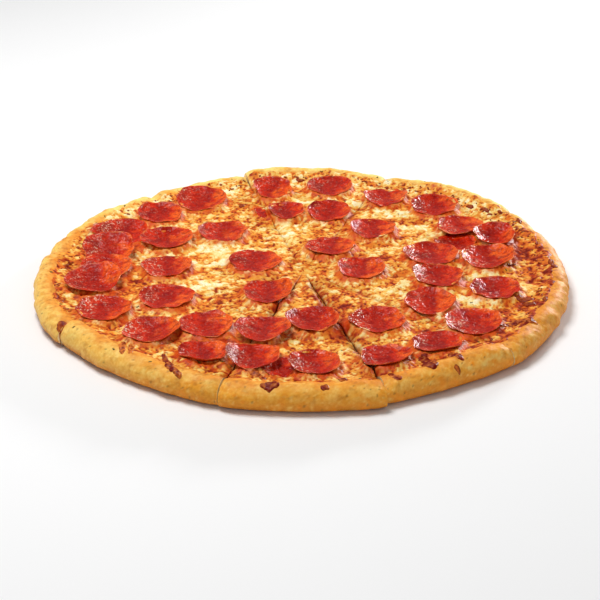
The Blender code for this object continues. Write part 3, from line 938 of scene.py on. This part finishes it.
def build_cheese(cut, table, maps, materials):
    """The cheese of one slice, over its dough and up against the pepperoni that lies on it."""
    number = cut.number
    limit_bearings = np.linspace(cut.start, cut.end, EDGE_POINTS)
    solid_edge = cut.section_at(limit_bearings)[:, CHEESE_EDGE_POINT, 0]
    edge = solid_edge + RUN_UPS[number - 1] * MM
    edge_x, edge_y = cut.place(edge, limit_bearings)
    edge += EDGE_WANDER * layered(edge_x, edge_y, 14 * MM, 401, 4)
    rows = []
    away, bearing, inwards = [], [], []
    count = 0
    for share in np.linspace(0, 1, int(edge.mean() / CHEESE_STEP)):
        radius = CHEESE_TIP + (edge.mean() - CHEESE_TIP) * share
        cells = max(4, int(math.radians(cut.end - cut.start) * radius / CHEESE_STEP))
        spread = np.linspace(cut.start, cut.end, cells + 1)
        reach = np.interp(spread, limit_bearings, edge)
        away.append(CHEESE_TIP + (reach - CHEESE_TIP) * share)
        bearing.append(spread)
        inwards.append((1 - share) * reach)
        rows.append(range(count, count + cells + 1))
        count += cells + 1
    away, bearing, inwards = map(np.concatenate, (away, bearing, inwards))
    x, y = cut.place(away, bearing)
    floor = read_table(table, bearing, away)
    cover = maps["near"].at(x, y)
    paint, relief, oil = cheese_colours(x, y, away, maps, cover)
    thick = np.maximum(maps["cheese"].at(x, y) - floor, THINNEST_CHEESE)
    beyond = rising(-6 * MM, 0, away - np.interp(bearing, limit_bearings, solid_edge))
    thick = thick * (1 - beyond) + CHEESE_RUN * beyond
    free = 1 - rising(0.35, 0.95, cover)
    height = floor + thick + free * relief * (1 - 0.3 * beyond) + maps["lift"].at(x, y)
    under = maps["under"].at(x, y)
    height = np.where(np.isfinite(under), np.minimum(height, under + CONTACT_OVERLAP), height)
    shade = np.zeros(len(x))
    for which, side in cut.sides():
        distance = np.radians(np.abs(bearing - side)) * away
        wander = waves(x, y, 8 * MM, 500 + which)
        sag = CUTS[which].sag * (1 + 0.6 * wander) * rising(2 * MM, 22 * MM, away) * MM
        height -= np.minimum(sag, 0.85 * thick) * np.exp(-((distance / (1.5 * MM)) ** 2) / 2)
        stain = np.clip(sag / (2.5 * MM), 0, 1) * np.exp(-distance / (0.8 * MM + sag))
        shade = np.maximum(shade, stain)
    taper = rising(0, 2.5 * MM, inwards)
    sunk = floor - CHEESE_SINK
    height = np.maximum(sunk + (height - sunk) * taper**0.6, sunk + LEAST_CHEESE * taper)
    # Beside a sunken cut the cheese is painted with sauce, darker where it sank more, which also
    # paints the shade in the gap.
    paint = tinted(paint, SAUCE, 0.9 * shade)
    faces = []
    for row, following in zip(rows, rows[1:]):
        faces += strip(row, following)
    points = np.column_stack((x, y, height))
    points, faces, paint = add_skirt(points, faces, paint, rows, floor)
    oil = np.concatenate((oil, np.zeros(len(points) - len(oil))))
    mesh = new_mesh(f"melted_cheese_{number:02d}", points, faces, paint, oil)
    return add_piece(mesh, materials, [f"cheese_{number:02d}"])


def add_skirt(points, faces, paint, rows, floor):
    """Closes the two cut sides and the tip down to the dough, with the sauce showing below."""
    loop = [row[-1] for row in rows][::-1] + list(rows[0])[::-1][1:] + [row[0] for row in rows][1:]
    upper = loop
    for step in range(1, SKIRT_STEPS + 1):
        share = step / SKIRT_STEPS
        first = len(points)
        down = points[loop]
        down[:, 2] = down[:, 2] * (1 - share) + (floor[loop] - SKIRT_SINK) * share
        tint = np.full(len(loop), 0.9 * rising(0.2, 1.0, share))
        points = np.concatenate((points, down))
        paint = np.concatenate((paint, tinted(paint[loop], SAUCE, tint)))
        lower = range(first, first + len(loop))
        for i in range(len(loop) - 1):
            faces.append((upper[i], lower[i], lower[i + 1], upper[i + 1]))
        upper = lower
    return points, faces, paint


class Disc:
    """One pepperoni slice: its middle, its own directions, its outline and its upper side."""

    rings = (0.15, 0.35, 0.55, 0.75, 0.93)

    def __init__(self, points, tree, outline=None):
        self.middle = points.mean(0)
        self.up = np.linalg.svd(points - self.middle, full_matrices=False)[2][2]
        if self.up[2] < 0:
            self.up = -self.up
        self.along = np.cross((0, 1, 0), self.up)
        self.along /= np.linalg.norm(self.along)
        self.across = np.cross(self.up, self.along)
        self.angles = np.radians(np.arange(0, 360, 5))
        if outline is None:
            flat = (points - self.middle) @ np.column_stack((self.along, self.across))
            self.radii = low_waves(outline_radii(flat, self.angles), 5)
        else:
            self.radii = low_waves(outline(self.angles), 7)
        self.fit(tree)

    @staticmethod
    def terms(share, angle):
        """The bends that its surface may have, over share of the radius and angle."""
        bends = [np.ones_like(share), share**2, share**4]
        for power, turns in ((1, 1), (3, 1), (2, 2), (4, 2), (3, 3)):
            bends += [share**power * np.cos(turns * angle), share**power * np.sin(turns * angle)]
        return np.stack(bends, axis=-1)

    def fit(self, tree):
        """A smooth surface through the solid's upper side."""
        shares, angles, heights = [], [], []
        for share in self.rings:
            for angle in np.radians(np.arange(0, 360, 15)):
                spot = self.point(share, angle, 0.0)
                hit = tree.ray_cast(Vector(spot + self.up * 20 * MM), Vector(-self.up))[0]
                if hit is not None:
                    shares.append(share)
                    angles.append(angle)
                    heights.append((np.array(hit) - spot) @ self.up)
        table = self.terms(np.array(shares), np.array(angles))
        self.weights = np.linalg.lstsq(table, np.array(heights), rcond=None)[0]

    def point(self, share, angle, height):
        reach = np.interp(angle, self.angles, self.radii, period=2 * np.pi) * share
        flat = self.along * np.cos(angle)[..., None] + self.across * np.sin(angle)[..., None]
        return self.middle + reach[..., None] * flat + np.asarray(height)[..., None] * self.up

    def surface(self, share, angle):
        return self.terms(share, angle) @ self.weights


def outline_radii(flat, angles):
    """The outline's distance from the middle at each angle, for a disc's points."""
    turn = np.arctan2(flat[:, 1], flat[:, 0])
    away = np.hypot(flat[:, 0], flat[:, 1])
    outer = away > 0.55 * away.max()
    turn, away = turn[outer], away[outer]
    order = np.argsort(turn)
    turn, away = turn[order], away[order]
    groups = np.split(np.arange(len(turn)), np.nonzero(np.diff(turn) > 0.08)[0] + 1)
    known = [turn[group].mean() for group in groups]
    reach = [away[group].max() for group in groups]
    return np.interp(angles, known, reach, period=2 * np.pi)


def low_waves(values, most):
    """The values without any wave shorter than one in `most` of a turn."""
    spectrum = np.fft.rfft(values)
    spectrum[most + 1:] = 0
    return np.fft.irfft(spectrum, len(values))


def disc_mesh(name, disc, seed):
    """A thin slice with a rounded, slightly wavy and frilled rim."""
    draw = np.random.default_rng(900 + seed)
    angle = np.linspace(0, 2 * np.pi, PEPPERONI_SIDES, endpoint=False)
    lip = np.zeros(PEPPERONI_SIDES)
    frill = np.zeros(PEPPERONI_SIDES)
    for turns in range(2, 10):
        phase = draw.random() * 2 * np.pi
        lip += draw.normal() * np.cos(turns * angle + phase) / turns
        frill += draw.normal() * np.cos(turns * angle + phase) / turns**0.5
    inner = np.linspace(0, 1, PEPPERONI_RINGS + 1)[1:] ** 0.85 * LIP_STARTS
    under = np.linspace(1, 0, UNDER_RINGS + 1)[:-1] * LIP_STARTS
    shares = np.concatenate((inner, (1.0, 1.004, 0.998), under))
    drop = np.concatenate((np.zeros(PEPPERONI_RINGS), (0.16, 0.5, 0.86), np.ones(UNDER_RINGS)))
    share, turn = np.meshgrid(shares, angle, indexing="ij")
    rim = rising(0.70, 1.0, share) ** 1.5
    height = disc.surface(np.minimum(share, 1), turn)
    fold = np.abs(share * np.cos(turn - 1.0 * (draw.random() - 0.5)))
    rise = FOLD_RISE * (0.5 + draw.random())
    height += rim * 0.65 * MM * lip + rise * (fold**1.6 - 0.4)
    height -= drop[:, None] * (PEPPERONI_THICK + (PEPPERONI_RIM_THICK - PEPPERONI_THICK) * rim)
    points = disc.point(share * (1 + 0.03 * frill * rim), turn, height)
    x, y = points[..., 0] + 0.031 * seed, points[..., 1] - 0.017 * seed
    grain = 0.30 * MM * layered(x, y, 4.2 * MM, 601, 2) + 0.8 * MM * waves(x, y, 9 * MM, 602)
    points = points + np.where(drop[:, None] < 0.3, grain, 0.4 * grain)[..., None] * disc.up
    paint, fat = meat_colours(x, y, share, turn, drop[:, None], draw)
    paint = np.concatenate((paint.reshape(-1, 3), [paint[0, 0]], [paint[-1, 0]]))
    fat = np.concatenate((fat.ravel(), (fat[0, 0], fat[-1, 0])))
    top, low = points[0].mean(0), points[-1].mean(0)
    points = np.concatenate((points.reshape(-1, 3), [top], [low]))
    faces = quads(*share.shape)
    last_row, middle = share.size - PEPPERONI_SIDES, share.size
    for j in range(PEPPERONI_SIDES):
        k = (j + 1) % PEPPERONI_SIDES
        faces += [(middle, j, k), (middle + 1, last_row + k, last_row + j)]
    return new_mesh(name, points, faces, paint, fat)


def meat_colours(x, y, share, turn, drop, draw):
    """Deep red, darker in the middle and along the fold as painted shade, and orange on one side of
    the fold as painted light; paler with fat and painted glints on the other; a pale edge that is
    crisp and also a painted highlight on the lip. Also says how fatty each place is."""
    across = share * np.cos(turn - 0.8 * (draw.random() - 0.5))
    blotch = layered(x, y, 9 * MM, 611, 2)
    # Brighter towards the rim and on the side that the fold turns to the light, as painted light,
    # with random blotches and a random share for each slice.
    tone = 0.25 + 0.6 * across + 0.35 * blotch + 0.3 * (draw.random() - 0.5)
    # Fat on the other side of the fold, paler and flecked, which also paints the glints there.
    fat = rising(0.05, 0.6, -across + 0.4 * layered(x, y, 7 * MM, 613, 2))
    fat *= 0.25 + 0.75 * draw.random()
    # A pale crisp edge, which is also a painted highlight on the lip.
    crisp = rising(0.93, 0.99, share) * rising(-0.2, 0.6, waves(x, y, 8 * MM, 631)) * (drop < 0.6)
    colour = washed(
        MEAT_DEEP_AND_SHADE,
        (MEAT_RED, rising(-0.2, 0.35, tone + 0.4 * share**2)),
        (MEAT_LIT_ORANGE, 0.9 * rising(0.4, 0.95, tone)),
        (MEAT_FATTY_SHEEN, 0.25 * fat),
        # Painted shade along the fold's hollow.
        (MEAT_DEEP_AND_SHADE, 0.6 * np.exp(-(((across - 0.05 + 0.25 * blotch) / 0.3) ** 2))),
        (MEAT_DEEP_AND_SHADE, 0.6 * rising(0.0, 0.6, layered(x, y, 3.8 * MM, 612))),
        (MEAT_UNDER, 0.9 * rising(0.05, 0.5, drop)),
        (MEAT_EDGE_SHEEN, 0.8 * crisp),
    )
    return colour, (0.06 + 0.94 * fat**1.3) * (drop < 0.3)


def build_pepperoni(materials):
    pieces = []
    for number in range(1, PEPPERONI_COUNT + 1):
        name = f"pepperoni_{number:02d}"
        disc = Disc(points_of(name), tree_of(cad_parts[name]))
        mesh = disc_mesh(f"baked_{name}", disc, number)
        pieces.append(add_piece(mesh, materials, [name]))
    return pieces


def build_sunk_pieces(materials):
    """The pieces that belong to a slice's cheese solid, from the rise that they make in it."""
    pieces = []
    for number, sunk in enumerate(SUNK_PIECES, 1):
        tree = tree_of(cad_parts[f"cheese_{sunk.slice_number:02d}"])
        x, y = from_middle(sunk.away * MM, sunk.bearing)

        def outline(angles, sunk=sunk):
            turned = angles - math.radians(sunk.bearing)
            reach = np.hypot(sunk.narrow * np.cos(turned), np.sin(turned))
            return sunk.width / 2 * MM * sunk.narrow / reach

        angles = np.radians(np.arange(0, 360, SUNK_SAMPLES_TURN))
        samples = []
        for angle, reach in zip(angles, 0.9 * outline(angles)):
            hit = cast(tree, x + reach * math.cos(angle), y + reach * math.sin(angle))[0]
            if hit is not None:
                samples.append(tuple(hit))
        disc = Disc(np.array(samples), tree, outline)
        disc.weights[0] += SUNK_LIFT
        mesh = disc_mesh(f"sunk_pepperoni_{number:02d}", disc, SUNK_SEED + number)
        pieces.append(add_piece(mesh, materials))
    return pieces


def contact_maps(discs):
    """The solid cheese's smooth height, the discs' underside, and how far the cheese rises
    to meet it."""
    cheese = [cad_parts[f"cheese_{i:02d}"] for i in range(1, SLICE_COUNT + 1)]
    top = Map.of_surfaces(cheese).values
    under = Map.of_surfaces(discs, upwards=True)
    x, y = np.meshgrid(Map.line(), Map.line(), indexing="ij")
    for sunk in SUNK_PIECES:
        middle_x, middle_y = from_middle(sunk.away * MM, sunk.bearing)
        top[np.hypot(x - middle_x, y - middle_y) < (sunk.width / 2 + 1) * MM] = np.nan
    top = np.where(np.isfinite(top), top, blurred(top, HOLE_BLUR))
    top[np.hypot(x, y) > SOLID_CHEESE_REACH] = np.nan
    smooth = blurred(top, CHEESE_BLUR)
    covered = np.isfinite(under.values)
    near = blurred(covered.astype(float), NEAR_BLUR)
    gap = np.where(covered, under.values - smooth, 0.0)
    below = np.maximum(gap, 0) * rising(6.0 * MM, 3.5 * MM, gap)
    tops = Map.of_surfaces(discs).values
    reach = 0.48 + 0.48 * rising(-0.1, 0.55, waves(x, y, 9 * MM, 702))
    tongues = covered & (near < reach) & (gap < 5 * MM)
    below = np.where(tongues, tops + OVERLAP_HEIGHT - smooth, below)
    step_up = blurred(tops, STEP_BLUR) - FLUSH_DEPTH - smooth
    spread = blurred(covered.astype(float), SPREAD_BLUR)
    in_front = rising(0.0, 0.08, np.gradient(spread, axis=1))
    climb = MOST_CLIMB * (0.8 + FRONT_CLIMB * in_front)
    flush = rising(-0.5, 0.3, waves(x, y, 11 * MM, 701)) * rising(7.0 * MM, 4.5 * MM, step_up)
    beside = np.clip(step_up, 0, climb) * rising(0.0, 0.42, spread) * (0.75 + 0.25 * flush)
    under.values[tongues] = np.nan
    return {
        "cheese": Map(smooth),
        "under": under,
        "lift": Map(blurred(np.where(covered, below, beside), LIFT_BLUR)),
        "near": Map(near),
        "halo": Map(blurred(covered.astype(float), HALO_BLUR)),
    }


class Patches:
    """Small raised patches that lie on a surface, joined into one mesh."""

    rings = (0.35, 0.62, 0.82, 0.94, 1.0)
    sides = 18

    def __init__(self, objects):
        graph = bpy.context.evaluated_depsgraph_get()
        self.trees = [BVHTree.FromObject(obj, graph) for obj in objects]
        self.points, self.faces, self.paint = [], [], []

    def surface_at(self, x, y):
        """The highest place over a spot and the way up from the surface there."""
        hits = [hit for hit in (cast(tree, x, y) for tree in self.trees) if hit[0] is not None]
        return max(hits, key=lambda hit: hit[0].z) if hits else None

    def lay(self, x, y, length, width, turn, height, colour, light, seed):
        """One patch, in the first colour with some of the second on its ridges."""
        found = self.surface_at(x, y)
        if found is None:
            return
        spot, normal = found
        along = Vector((math.cos(turn), math.sin(turn), 0))
        along = (along - normal * along.dot(normal)).normalized()
        across = normal.cross(along)
        first = len(self.points)
        draw = np.random.default_rng(seed)
        angle = np.linspace(0, 2 * np.pi, self.sides, endpoint=False)
        ragged = np.ones(self.sides)
        for turns in (2, 3, 4, 5, 7):
            ragged += 0.36 / turns * draw.normal() * np.cos(turns * angle + 6.3 * draw.random())
        ragged = np.maximum(ragged, LEAST_RAGGED)
        bend = 0.25 * (draw.random() - 0.5)
        self.points.append(spot + normal * height)
        self.paint.append(tinted(colour, light, 0.5 * draw.random()))
        for share in self.rings:
            for k in range(self.sides):
                u = share * ragged[k] * math.cos(angle[k])
                v = share * ragged[k] * math.sin(angle[k]) + bend * u * u * length / width
                beside = spot + along * (u * length / 2) + across * (v * width / 2)
                near, way = self.surface_at(beside.x, beside.y) or (beside, normal)
                rise = height * math.sqrt(1 - share**2) * (0.75 + 0.5 * draw.random())
                self.points.append(near + way * (rise - PATCH_SINK * (share > 0.99)))
                self.paint.append(tinted(colour, light, 0.7 * draw.random() * (1 - share)))
        self.faces += quads(len(self.rings), self.sides, first + 1)
        for k in range(self.sides):
            self.faces.append((first, first + 1 + k, first + 1 + (k + 1) % self.sides))

    def run(self, run, seed):
        """A raised streak along a path, with ragged sides and rounded ends."""
        away, bearing, width = np.array(run.path).T
        stops = np.column_stack((*from_middle(away * MM, bearing), width / 2 * MM))
        lengths = np.linalg.norm(np.diff(stops[:, :2], axis=0), axis=1)
        known = np.concatenate(([0], np.cumsum(lengths)))
        count = max(8, int(known[-1] / RUN_STEP))
        spots = smooth_through(known, stops, np.linspace(0, known[-1], count))
        way = np.gradient(spots[:, :2], axis=0)
        way /= np.linalg.norm(way, axis=1)[:, None]
        ends = np.sqrt(1 - np.linspace(-1, 1, count) ** 6)
        shares = np.linspace(-1, 1, RUN_ACROSS)
        places = (spots[:, 0], spots[:, 1])
        left, right = (
            1 + 0.45 * layered(*places, 3.4 * MM, seed + side, 2)[:, None] for side in (0, 1)
        )
        reach = np.where(shares > 0, right, left) * shares * (spots[:, 2] * ends)[:, None]
        x = spots[:, None, 0] - way[:, None, 1] * reach
        y = spots[:, None, 1] + way[:, None, 0] * reach
        dome = np.sqrt(1 - shares**2) * ends[:, None]
        rise = run.height * MM * dome * (0.75 + 0.4 * waves(x, y, 2.4 * MM, seed))
        rise -= PATCH_SINK * (dome < 0.05)
        # Lighter streaks of less browned cheese, which also stand in for the highlights on the
        # runs.
        light = 0.7 * run.light + 0.8 * layered(x, y, 2.6 * MM, seed + 5, 2)
        first = len(self.points)
        for u, v, up in zip(x.ravel(), y.ravel(), rise.ravel()):
            near, way_up = self.surface_at(u, v) or (Vector((u, v, 0)), Vector((0, 0, 1)))
            self.points.append(near + way_up * up)
        self.paint.extend(tinted(RUN_DARK, RUN_LIGHT, np.clip(light, 0, 1)).reshape(-1, 3))
        self.faces += quads(count, RUN_ACROSS, first, closed=False)

    def finish(self, name, materials):
        points = [tuple(point) for point in self.points]
        mesh = new_mesh(name, points, self.faces, np.array(self.paint))
        return add_piece(mesh, materials)


def add_marks(patches, marks, height, colour, light, seed):
    for number, mark in enumerate(marks):
        x, y = from_middle(mark.away * MM, mark.bearing)
        turn = math.radians(mark.along)
        size = (mark.length * MM, mark.width * MM)
        patches.lay(x, y, *size, turn, height, colour, light, seed + number)


def build_marks(ground, materials):
    """Browned runs, burnt bits, toasted crumbs along the rim, and flecks of herb."""
    runs, burns, herbs = (Patches(ground) for _ in range(3))
    for number, run in enumerate(RUNS):
        runs.run(run, 3000 + number)
    add_marks(burns, BURNS, BURN_HEIGHT, BURNT, RUN_LIGHT, 3100)
    draw = np.random.default_rng(3200)
    for number in range(RIM_CRUMB_COUNT):
        bearing = -45 + 235 * draw.random()
        edge = (160 + 0.8 * RUN_UPS[slice_at(bearing) - 1] - 12 * draw.random() ** 1.5) * MM
        size = (0.9 + 1.9 * draw.random() ** 2) * MM
        shade = tinted(TOAST, BURNT, draw.random() ** 2)
        burns.lay(
            *from_middle(edge, bearing), 1.5 * size, size, 6.3 * draw.random(),
            CRUMB_HEIGHT, shade, TOAST, 3300 + number,
        )
    for number in range(HERB_COUNT):
        away = (120 + 52 * draw.random()) * MM
        x, y = from_middle(away, 360 * draw.random())
        size = (0.6 + 0.7 * draw.random()) * MM
        herbs.lay(
            x, y, 2.2 * size, size, 6.3 * draw.random(),
            HERB_HEIGHT, HERB, FRECKLE, 3500 + number,
        )
    runs.finish("browned_runs", materials)
    burns.finish("burnt_bits", materials)
    herbs.finish("herb_flecks", materials)


def slice_at(bearing):
    for cut in slices:
        if (bearing - cut.start) % 360 < (cut.end - cut.start) % 360:
            return cut.number
    return 1


def material_base(name, roughness, specular):
    material = bpy.data.materials.new(name)
    material.use_nodes = True
    shader = material.node_tree.nodes["Principled BSDF"]
    shader.inputs["Roughness"].default_value = roughness
    shader.inputs["Specular IOR Level"].default_value = specular
    return material, shader


def add_node(material, kind, output, inputs, **settings):
    """A new node's output. Each input takes another output or a plain value."""
    node = material.node_tree.nodes.new(kind)
    for name, value in settings.items():
        setattr(node, name, value)
    for name, value in inputs.items():
        if isinstance(value, bpy.types.NodeSocket):
            material.node_tree.links.new(value, node.inputs[name])
        else:
            node.inputs[name].default_value = value
    return node.outputs[output]


def add_noise(material, size_mm, detail, distortion=0.0):
    """Noise over an object's own coordinates."""
    place = add_node(material, "ShaderNodeTexCoord", "Object", {})
    inputs = {"Vector": place, "Scale": 1 / (size_mm * MM), "Detail": detail}
    inputs["Distortion"] = distortion
    return add_node(material, "ShaderNodeTexNoise", "Fac", inputs)


def painted(name, roughness, specular, grain_mm, grain, bumps):
    """The mesh's own paint with a fine grain in colour, and fine bumps as (size, height) in
    millimetres. The grain's strength is a share of each of red, green and blue."""
    material, shader = material_base(name, roughness, specular)
    paint = add_node(material, "ShaderNodeVertexColor", "Color", {}, layer_name="Paint")
    centred = add_node(material, "ShaderNodeMapRange", "Result", {
        "Value": add_noise(material, grain_mm, 3.0),
        "From Min": 0.3, "From Max": 0.7, "To Min": -1,
    })
    inputs = {0: centred, 1: grain, 2: (1, 1, 1)}
    spread = add_node(material, "ShaderNodeVectorMath", "Vector", inputs, operation="MULTIPLY_ADD")
    inputs = {0: paint, 1: spread}
    scaled = add_node(material, "ShaderNodeVectorMath", "Vector", inputs, operation="MULTIPLY")
    material.node_tree.links.new(scaled, shader.inputs["Base Color"])
    below = {}
    for size_mm, height_mm in bumps:
        inputs = {"Strength": 1.0, "Distance": height_mm * MM, **below}
        inputs["Height"] = add_noise(material, size_mm, 2.0)
        below = {"Normal": add_node(material, "ShaderNodeBump", "Normal", inputs)}
    material.node_tree.links.new(below["Normal"], shader.inputs["Normal"])
    return material


def flecked(material, size_mm, amount, strength, colour):
    """Adds small pale flecks of another colour where the mesh says that there is fat; they are fat
    and also painted glints.
    """
    shader = material.node_tree.nodes["Principled BSDF"]
    near = add_node(material, "ShaderNodeMapRange", "Result", {
        "Value": add_noise(material, size_mm, 3.0, 0.6),
        "From Min": amount, "From Max": amount + 0.1, "To Max": strength,
    })
    dense = add_node(material, "ShaderNodeAttribute", "Fac", {}, attribute_name="OilAndGlints")
    inputs = {0: near, 1: dense}
    share = add_node(material, "ShaderNodeMath", "Value", inputs, operation="MULTIPLY")
    below = shader.inputs["Base Color"].links[0].from_socket
    inputs = {"Factor": share, MIX_FIRST: below, MIX_SECOND: (*colour, 1)}
    mixed = add_node(material, "ShaderNodeMix", MIX_RESULT, inputs, data_type="RGBA")
    material.node_tree.links.new(mixed, shader.inputs["Base Color"])


def oily(material):
    """Makes a painted material smoother where its mesh says that it is oily."""
    shader = material.node_tree.nodes["Principled BSDF"]
    rough = add_node(material, "ShaderNodeMapRange", "Result", {
        "Value": add_node(material, "ShaderNodeAttribute", "Fac", {}, attribute_name="OilAndGlints"),
        "To Min": shader.inputs["Roughness"].default_value, "To Max": OILY_ROUGHNESS,
    })
    material.node_tree.links.new(rough, shader.inputs["Roughness"])


def add_light(name, place, size, power):
    light = bpy.data.lights.new(name, "AREA")
    light.shape = "RECTANGLE"
    light.size, light.size_y = size
    light.energy = power
    obj = add_object(name, light)
    obj.location = place
    obj.rotation_euler = (-obj.location).to_track_quat("-Z", "Y").to_euler()


def build_studio():
    """A pale floor, even light from above, a low light from behind for the shine, and a weak
    one from the front."""
    scene = bpy.context.scene
    scene.view_settings.view_transform = "Standard"
    world = bpy.data.worlds.new("studio")
    scene.world = world
    world.use_nodes = True
    background = world.node_tree.nodes["Background"]
    background.inputs["Color"].default_value = (1, 1, 1, 1)
    background.inputs["Strength"].default_value = SKY_STRENGTH
    for light in LIGHTS:
        add_light(*light)
    material, shader = material_base("floor", FLOOR_ROUGHNESS, FLOOR_SPECULAR)
    shader.inputs["Base Color"].default_value = FLOOR_COLOUR
    mesh = bpy.data.meshes.new("floor")
    corners = [(x * FLOOR_HALF, y * FLOOR_HALF, 0) for x, y in ((-1, -1), (1, -1), (1, 1), (-1, 1))]
    mesh.from_pydata(corners, [], [(0, 1, 2, 3)])
    mesh.materials.append(material)
    floor = add_object("floor", mesh)
    floor.location.z = -FLOOR_DROP


def build_camera():
    data = bpy.data.cameras.new("photo")
    data.lens = LENS_MM
    data.sensor_width = SENSOR_MM
    data.shift_x, data.shift_y = LENS_SHIFT
    camera = add_object("photo", data)
    turn = Matrix.Rotation(math.pi / 2 - VIEW_ELEVATION, 4, "X")
    turn = turn @ Matrix.Rotation(VIEW_ROLL, 4, "Z")
    back = VIEW_DISTANCE * math.cos(VIEW_ELEVATION)
    place = Vector((centre[0], centre[1] - back, VIEW_DISTANCE * math.sin(VIEW_ELEVATION)))
    camera.matrix_world = Matrix.Translation(place) @ turn
    bpy.context.scene.camera = camera


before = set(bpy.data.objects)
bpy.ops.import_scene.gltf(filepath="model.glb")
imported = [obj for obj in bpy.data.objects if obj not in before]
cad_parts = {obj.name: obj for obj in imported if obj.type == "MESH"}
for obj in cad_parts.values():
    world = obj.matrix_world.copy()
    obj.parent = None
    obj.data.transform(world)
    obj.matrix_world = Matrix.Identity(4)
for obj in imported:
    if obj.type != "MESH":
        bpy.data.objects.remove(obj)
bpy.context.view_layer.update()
slices = [Slice(number) for number in range(1, SLICE_COUNT + 1)]
centre = meeting_point(slices)
skin, crumb, melt, meat, browned = (painted(name, **look) for name, look in LOOKS.items())
oily(melt)
flecked(meat, **FAT_AND_GLINT_FLECKS)
discs = build_pepperoni([meat]) + build_sunk_pieces([meat])
maps = {**contact_maps(discs), **cheese_heap()}
ground = []
for cut in slices:
    table, piece = build_dough(cut, [skin, crumb])
    ground += [piece, build_cheese(cut, table, maps, [melt])]
build_marks(ground, [browned])
build_studio()
build_camera()
